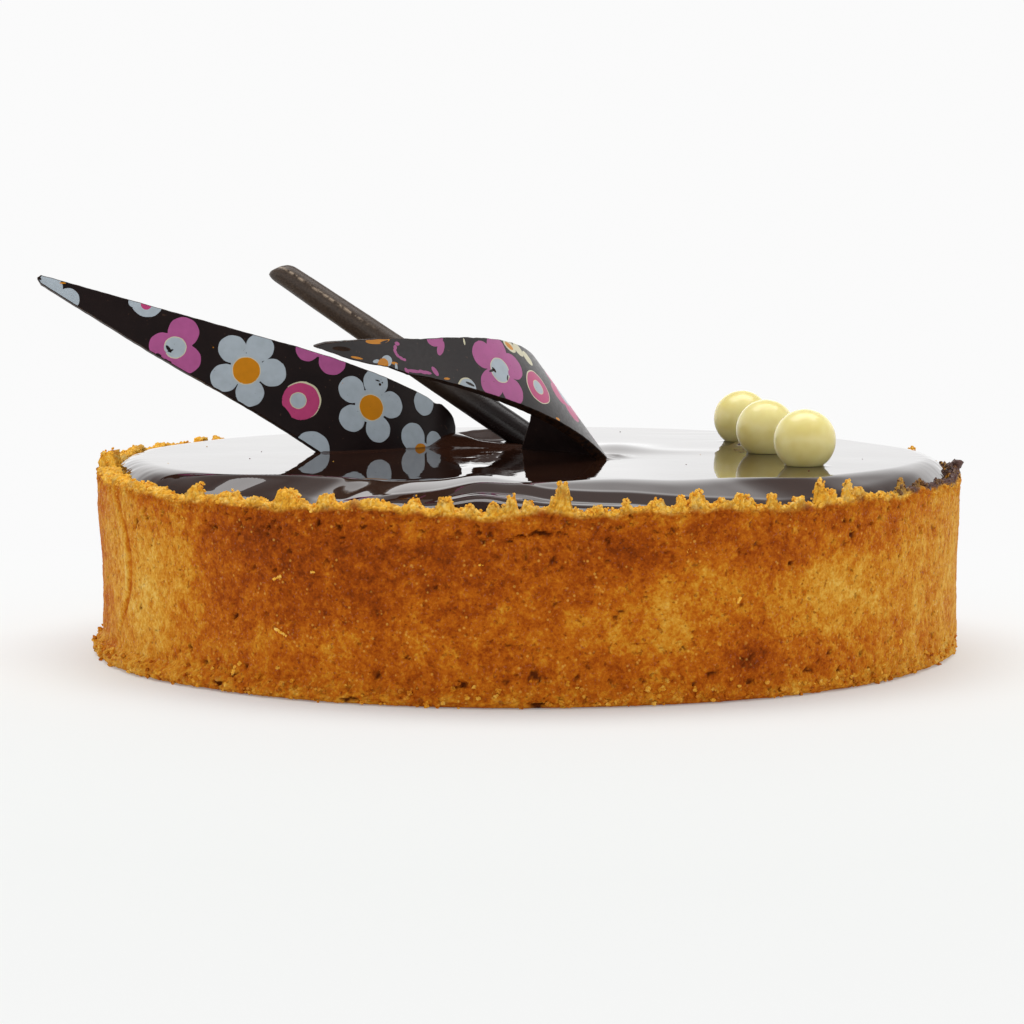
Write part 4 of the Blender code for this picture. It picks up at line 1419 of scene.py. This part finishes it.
def long_outline():
    """The long plate's flat outline, counterclockwise from its tip along the lower edge."""
    lower = []
    upper = []
    steps = 120
    for index in range(steps + 1):
        along = LONG_LENGTH * index / steps
        into_tip = max(0.0, 1 - 2 * along / LONG_TIP_WIDTH)
        half = LONG_TIP_WIDTH / 2 * math.sqrt(1 - into_tip ** 2)
        top = half - LONG_TOP_SLOPE * along
        into_end = max(0.0, along - LONG_LENGTH + LONG_END_ROUND) / LONG_END_ROUND
        top -= LONG_END_DROP * (1 - math.sqrt(max(0.0, 1 - into_end ** 2)))
        for place, half_width, rise in LONG_END_CHIPS:
            top += rise * MM * math.exp(-((along / MM - place) / half_width) ** 2)
        lowest = long_across(along, FILLING_TOP - SINK)
        belly = unit((along - 10 * MM) / (11 * MM))
        bottom = -half - LONG_BOTTOM_SLOPE * along + LONG_BELLY * belly * belly * (3 - 2 * belly)
        lower.append((along, max(bottom, lowest)))
        upper.append((along, top))
    return lower + upper[:0:-1]


def curl_outline():
    """The curled plate's flat outline, counterclockwise from its back foot."""
    feet = (Vector((0.0, 0.0)), CURL_FRONT_FOOT)
    buried = [foot + (foot - CURL_TIP).normalized() * SINK for foot in feet]
    foot_edge = [tuple(sagging(*buried, step / 10)) for step in range(11)]
    return foot_edge + [(along * MM, across * MM) for along, across in CURL_TIP_EDGE]


# ================================================================ stick and pearls

def seam_ridge(angle):
    """1 on the stick's seam, falling off beside it."""
    return math.exp(-((angle - STICK_SEAM) / 0.09) ** 2)


def stick_radius(angle, height, length):
    """A little uneven and thicker in the middle, with the seam's ridge and a rounded end."""
    along = max(0.0, height / length)
    radius = STICK_FOOT_RADIUS + (STICK_TOP_RADIUS - STICK_FOOT_RADIUS) * along
    radius += 0.12 * MM * math.sin(math.pi * min(1.0, along)) ** 0.6
    where = Vector((math.cos(angle) * 1.3, math.sin(angle) * 1.3, height / MM * 0.35))
    radius *= 1 + 0.012 * noise.noise(where) + 0.006 * noise.noise(where * 4)
    uneven = 0.6 + 0.4 * noise.noise(Vector((height / MM, 0, 0)))
    radius += 0.03 * MM * seam_ridge(angle) * uneven
    to_end = (length - height) / MM
    if to_end < 1.1:
        radius -= 0.55 * MM * (1 - math.sqrt(max(0.0, 1 - (1 - to_end / 1.1) ** 2)))
    return radius


def make_stick(material):
    """A rolled stick with a ridge along its seam and a slanting broken end."""
    length = (STICK_TOP - STICK_FOOT).length
    rows = STICK_STATIONS + 1
    direction = (STICK_TOP - STICK_FOOT).normalized()
    low_side = direction.cross(Vector((0.0, 1.0, 0.0))).normalized()
    matrix = frame_along(direction, low_side, STICK_FOOT)
    columns = []
    bloom_and_shade = []
    highlight_streak = []
    for side in range(STICK_SIDES):
        angle = FULL_TURN * side / STICK_SIDES
        for station in range(rows):
            share = station / STICK_STATIONS
            height = -STICK_BURIED + (length + STICK_BURIED) * share
            radius = stick_radius(angle, height, length)
            near_end = max(0.0, 1 - (length - height) / MM / 3.5)
            slant = STICK_END_SHEAR * radius * math.cos(angle) * near_end
            columns.append(matrix @ Vector(around(angle, radius, height + slant)))
            # 0 low down, where painted shade darkens the stick, rising to 1 between 6 and 15 mm up, where
            # it is dull and greyer.
            bloom_and_shade.append(unit((height / MM - 6) / 9))
            # Painted highlight along the seam's ridge, from about 19 mm up.
            highlight_streak.append(seam_ridge(angle) * unit((height / MM - 19) / 3))
    faces = grid_faces(STICK_SIDES, rows)
    foot = len(columns)
    columns.append(matrix @ Vector((0, 0, -STICK_BURIED)))
    columns.append(matrix @ Vector((0, 0, length - 0.12 * MM)))
    for side in range(STICK_SIDES):
        following = (side + 1) % STICK_SIDES
        faces.append((foot, following * rows, side * rows))
        faces.append((side * rows + rows - 1, following * rows + rows - 1, foot + 1))
    stick = new_piece("rolled_stick", columns, faces, material,
                      ("chocolate_stick",))
    set_values(stick, "bloom_and_shade", bloom_and_shade + [0.0, 1.0])
    set_values(stick, "highlight_streak", highlight_streak + [0.0, 0.0])
    turn_outward(stick)
    stick.data.set_sharp_from_angle(angle=math.radians(50))
    return stick


def make_pearl(name, material, seed):
    """A coated pearl, almost round, with faint dimples."""
    low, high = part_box(name)
    middle = (low + high) / 2
    radius = (high.x - low.x) / 2
    ball = bmesh.new()
    bmesh.ops.create_uvsphere(ball, u_segments=96, v_segments=56, radius=radius)
    for vert in ball.verts:
        where = vert.co / radius
        swell = 0.010 * noise.noise(where * 1.2 + Vector((seed, 0, 0)))
        swell += 0.003 * noise.noise(where * 3.4 + Vector((0, seed, 0)))
        vert.co = vert.co * (1 + swell) + middle
    points, faces = points_and_faces(ball)
    return new_piece(name + "_coated", points, faces, material, (name,))


# ================================================================ stage

def make_floor():
    """A pale floor that fades into the white surround away from the tart."""
    look = Look("pale_floor")
    look.set(Base_Color=(0.80, 0.812, 0.80), Roughness=0.8, Specular_IOR_Level=0.1)
    from_front = look.add("VectorMath", {0: look.place(), 1: FLOOR_FADE_FROM},
                          operation="DISTANCE").outputs["Value"]
    fade = look.stretch(from_front, *FLOOR_FADE)
    far = look.add("Emission", {"Color": (1.0, 1.0, 1.0), "Strength": SURROUND})
    blend = look.add("MixShader", {0: fade, 1: look.shader.outputs[0], 2: far.outputs[0]})
    look.feed(look.tree.nodes["Material Output"].inputs["Surface"], blend.outputs[0])
    mesh = bpy.data.meshes.new("floor")
    corners = [(x * FLOOR_HALF, y * FLOOR_HALF, 0) for x, y in ((-1, -1), (1, -1), (1, 1), (-1, 1))]
    mesh.from_pydata(corners, [], [(0, 1, 2, 3)])
    mesh.materials.append(look.material)
    floor = add_object("floor", mesh)


def make_world():
    """White all round for the eye. For light it is brightest low behind the tart."""
    world = bpy.data.worlds.new("studio")
    bpy.context.scene.world = world
    world.use_nodes = True
    world.node_tree.nodes.clear()
    nodes = Nodes(world.node_tree)
    split = nodes.add("SeparateXYZ", {0: nodes.add("TexCoord").outputs["Generated"]}).outputs

    def graded(direction, stops):
        return nodes.stretch(split[direction], *stops, interpolation_type="SMOOTHSTEP")

    sides = {0: graded("Y", (-0.1, 0.5, 0.0, 1.0)), 2: graded("Z", FRONT_LIGHT),
             3: graded("Z", BACK_LIGHT)}
    blend = nodes.add("Mix", sides, data_type="FLOAT")
    total = nodes.plus(blend.outputs[0], graded("Z", TOP_LIGHT))
    light = nodes.add("Background", {"Strength": total})
    seen = nodes.add("Background", {"Color": (1.0, 1.0, 1.0), "Strength": SURROUND})
    choose = nodes.add("MixShader", {0: nodes.add("LightPath").outputs["Is Camera Ray"],
                                     1: light.outputs[0], 2: seen.outputs[0]})
    nodes.add("OutputWorld", {"Surface": choose.outputs[0]})


def make_overhead():
    """A soft lamp over the back of the tart."""
    light = bpy.data.lights.new("overhead", "AREA")
    light.shape = "RECTANGLE"
    light.size, light.size_y = OVERHEAD_SIZE
    light.energy = OVERHEAD_WATTS
    lamp = add_object("overhead", light)
    lamp.location = OVERHEAD_PLACE
    away = Vector(OVERHEAD_AIM) - Vector(OVERHEAD_PLACE)
    lamp.rotation_euler = away.to_track_quat("-Z", "Y").to_euler()


def make_camera():
    """The photo's view: in front of the tart, just above it, looking slightly down."""
    data = bpy.data.cameras.new("camera")
    data.sensor_width = 36.0
    data.lens = CAMERA_LENS
    data.clip_start = 0.01
    data.clip_end = 50.0
    camera = add_object("camera", data)
    camera.location = CAMERA_PLACE
    camera.rotation_euler = (math.pi / 2 - CAMERA_DIP, 0.0, CAMERA_TURN)
    bpy.context.scene.camera = camera


# ================================================================ the tart

make_camera()
make_world()
make_overhead()
make_floor()

pastry = pastry_material()
make_wall(pastry)
make_rim(pastry)
make_rim_crumbs(pastry)
make_foot_crumbs(pastry)
make_glaze(glaze_material())
make_specks(pastry)
make_rim_drips(drifting_look("dried_chocolate", (0.045, 0.016, 0.011), (0.11, 0.045, 0.032),
                             (0.5 * MM, 3.0), (0.3, 0.5), 0.05 * MM, strength=0.7).material)

broken_edge = drifting_look("plate_edge", (0.004, 0.002, 0.0018), (0.035, 0.014, 0.006),
                            (0.4 * MM, 3.0), (0.4, 0.55), 0.04 * MM, shine=0.15, strength=0.7,
                            limits=(0.35, 0.65))
make_plate("long_plate_printed", "long_plate", long_outline(), LONG_PRINT, long_place,
           long_matrix(), plate_materials("long", 0.14, broken_edge), 0.03 * MM, 1)
make_plate("curled_plate_printed", "curled_plate", curl_outline(), CURL_PRINT, curl_place,
           curl_matrix(), plate_materials("curled", 0.6, broken_edge), 0.045 * MM, 2)
make_stick(stick_material())
ivory = pearl_material()
for number, pearl_name in enumerate(PEARLS):
    make_pearl(pearl_name, ivory, number + 1)

bpy.context.scene.view_settings.view_transform = "Standard"
bpy.context.view_layer.update()
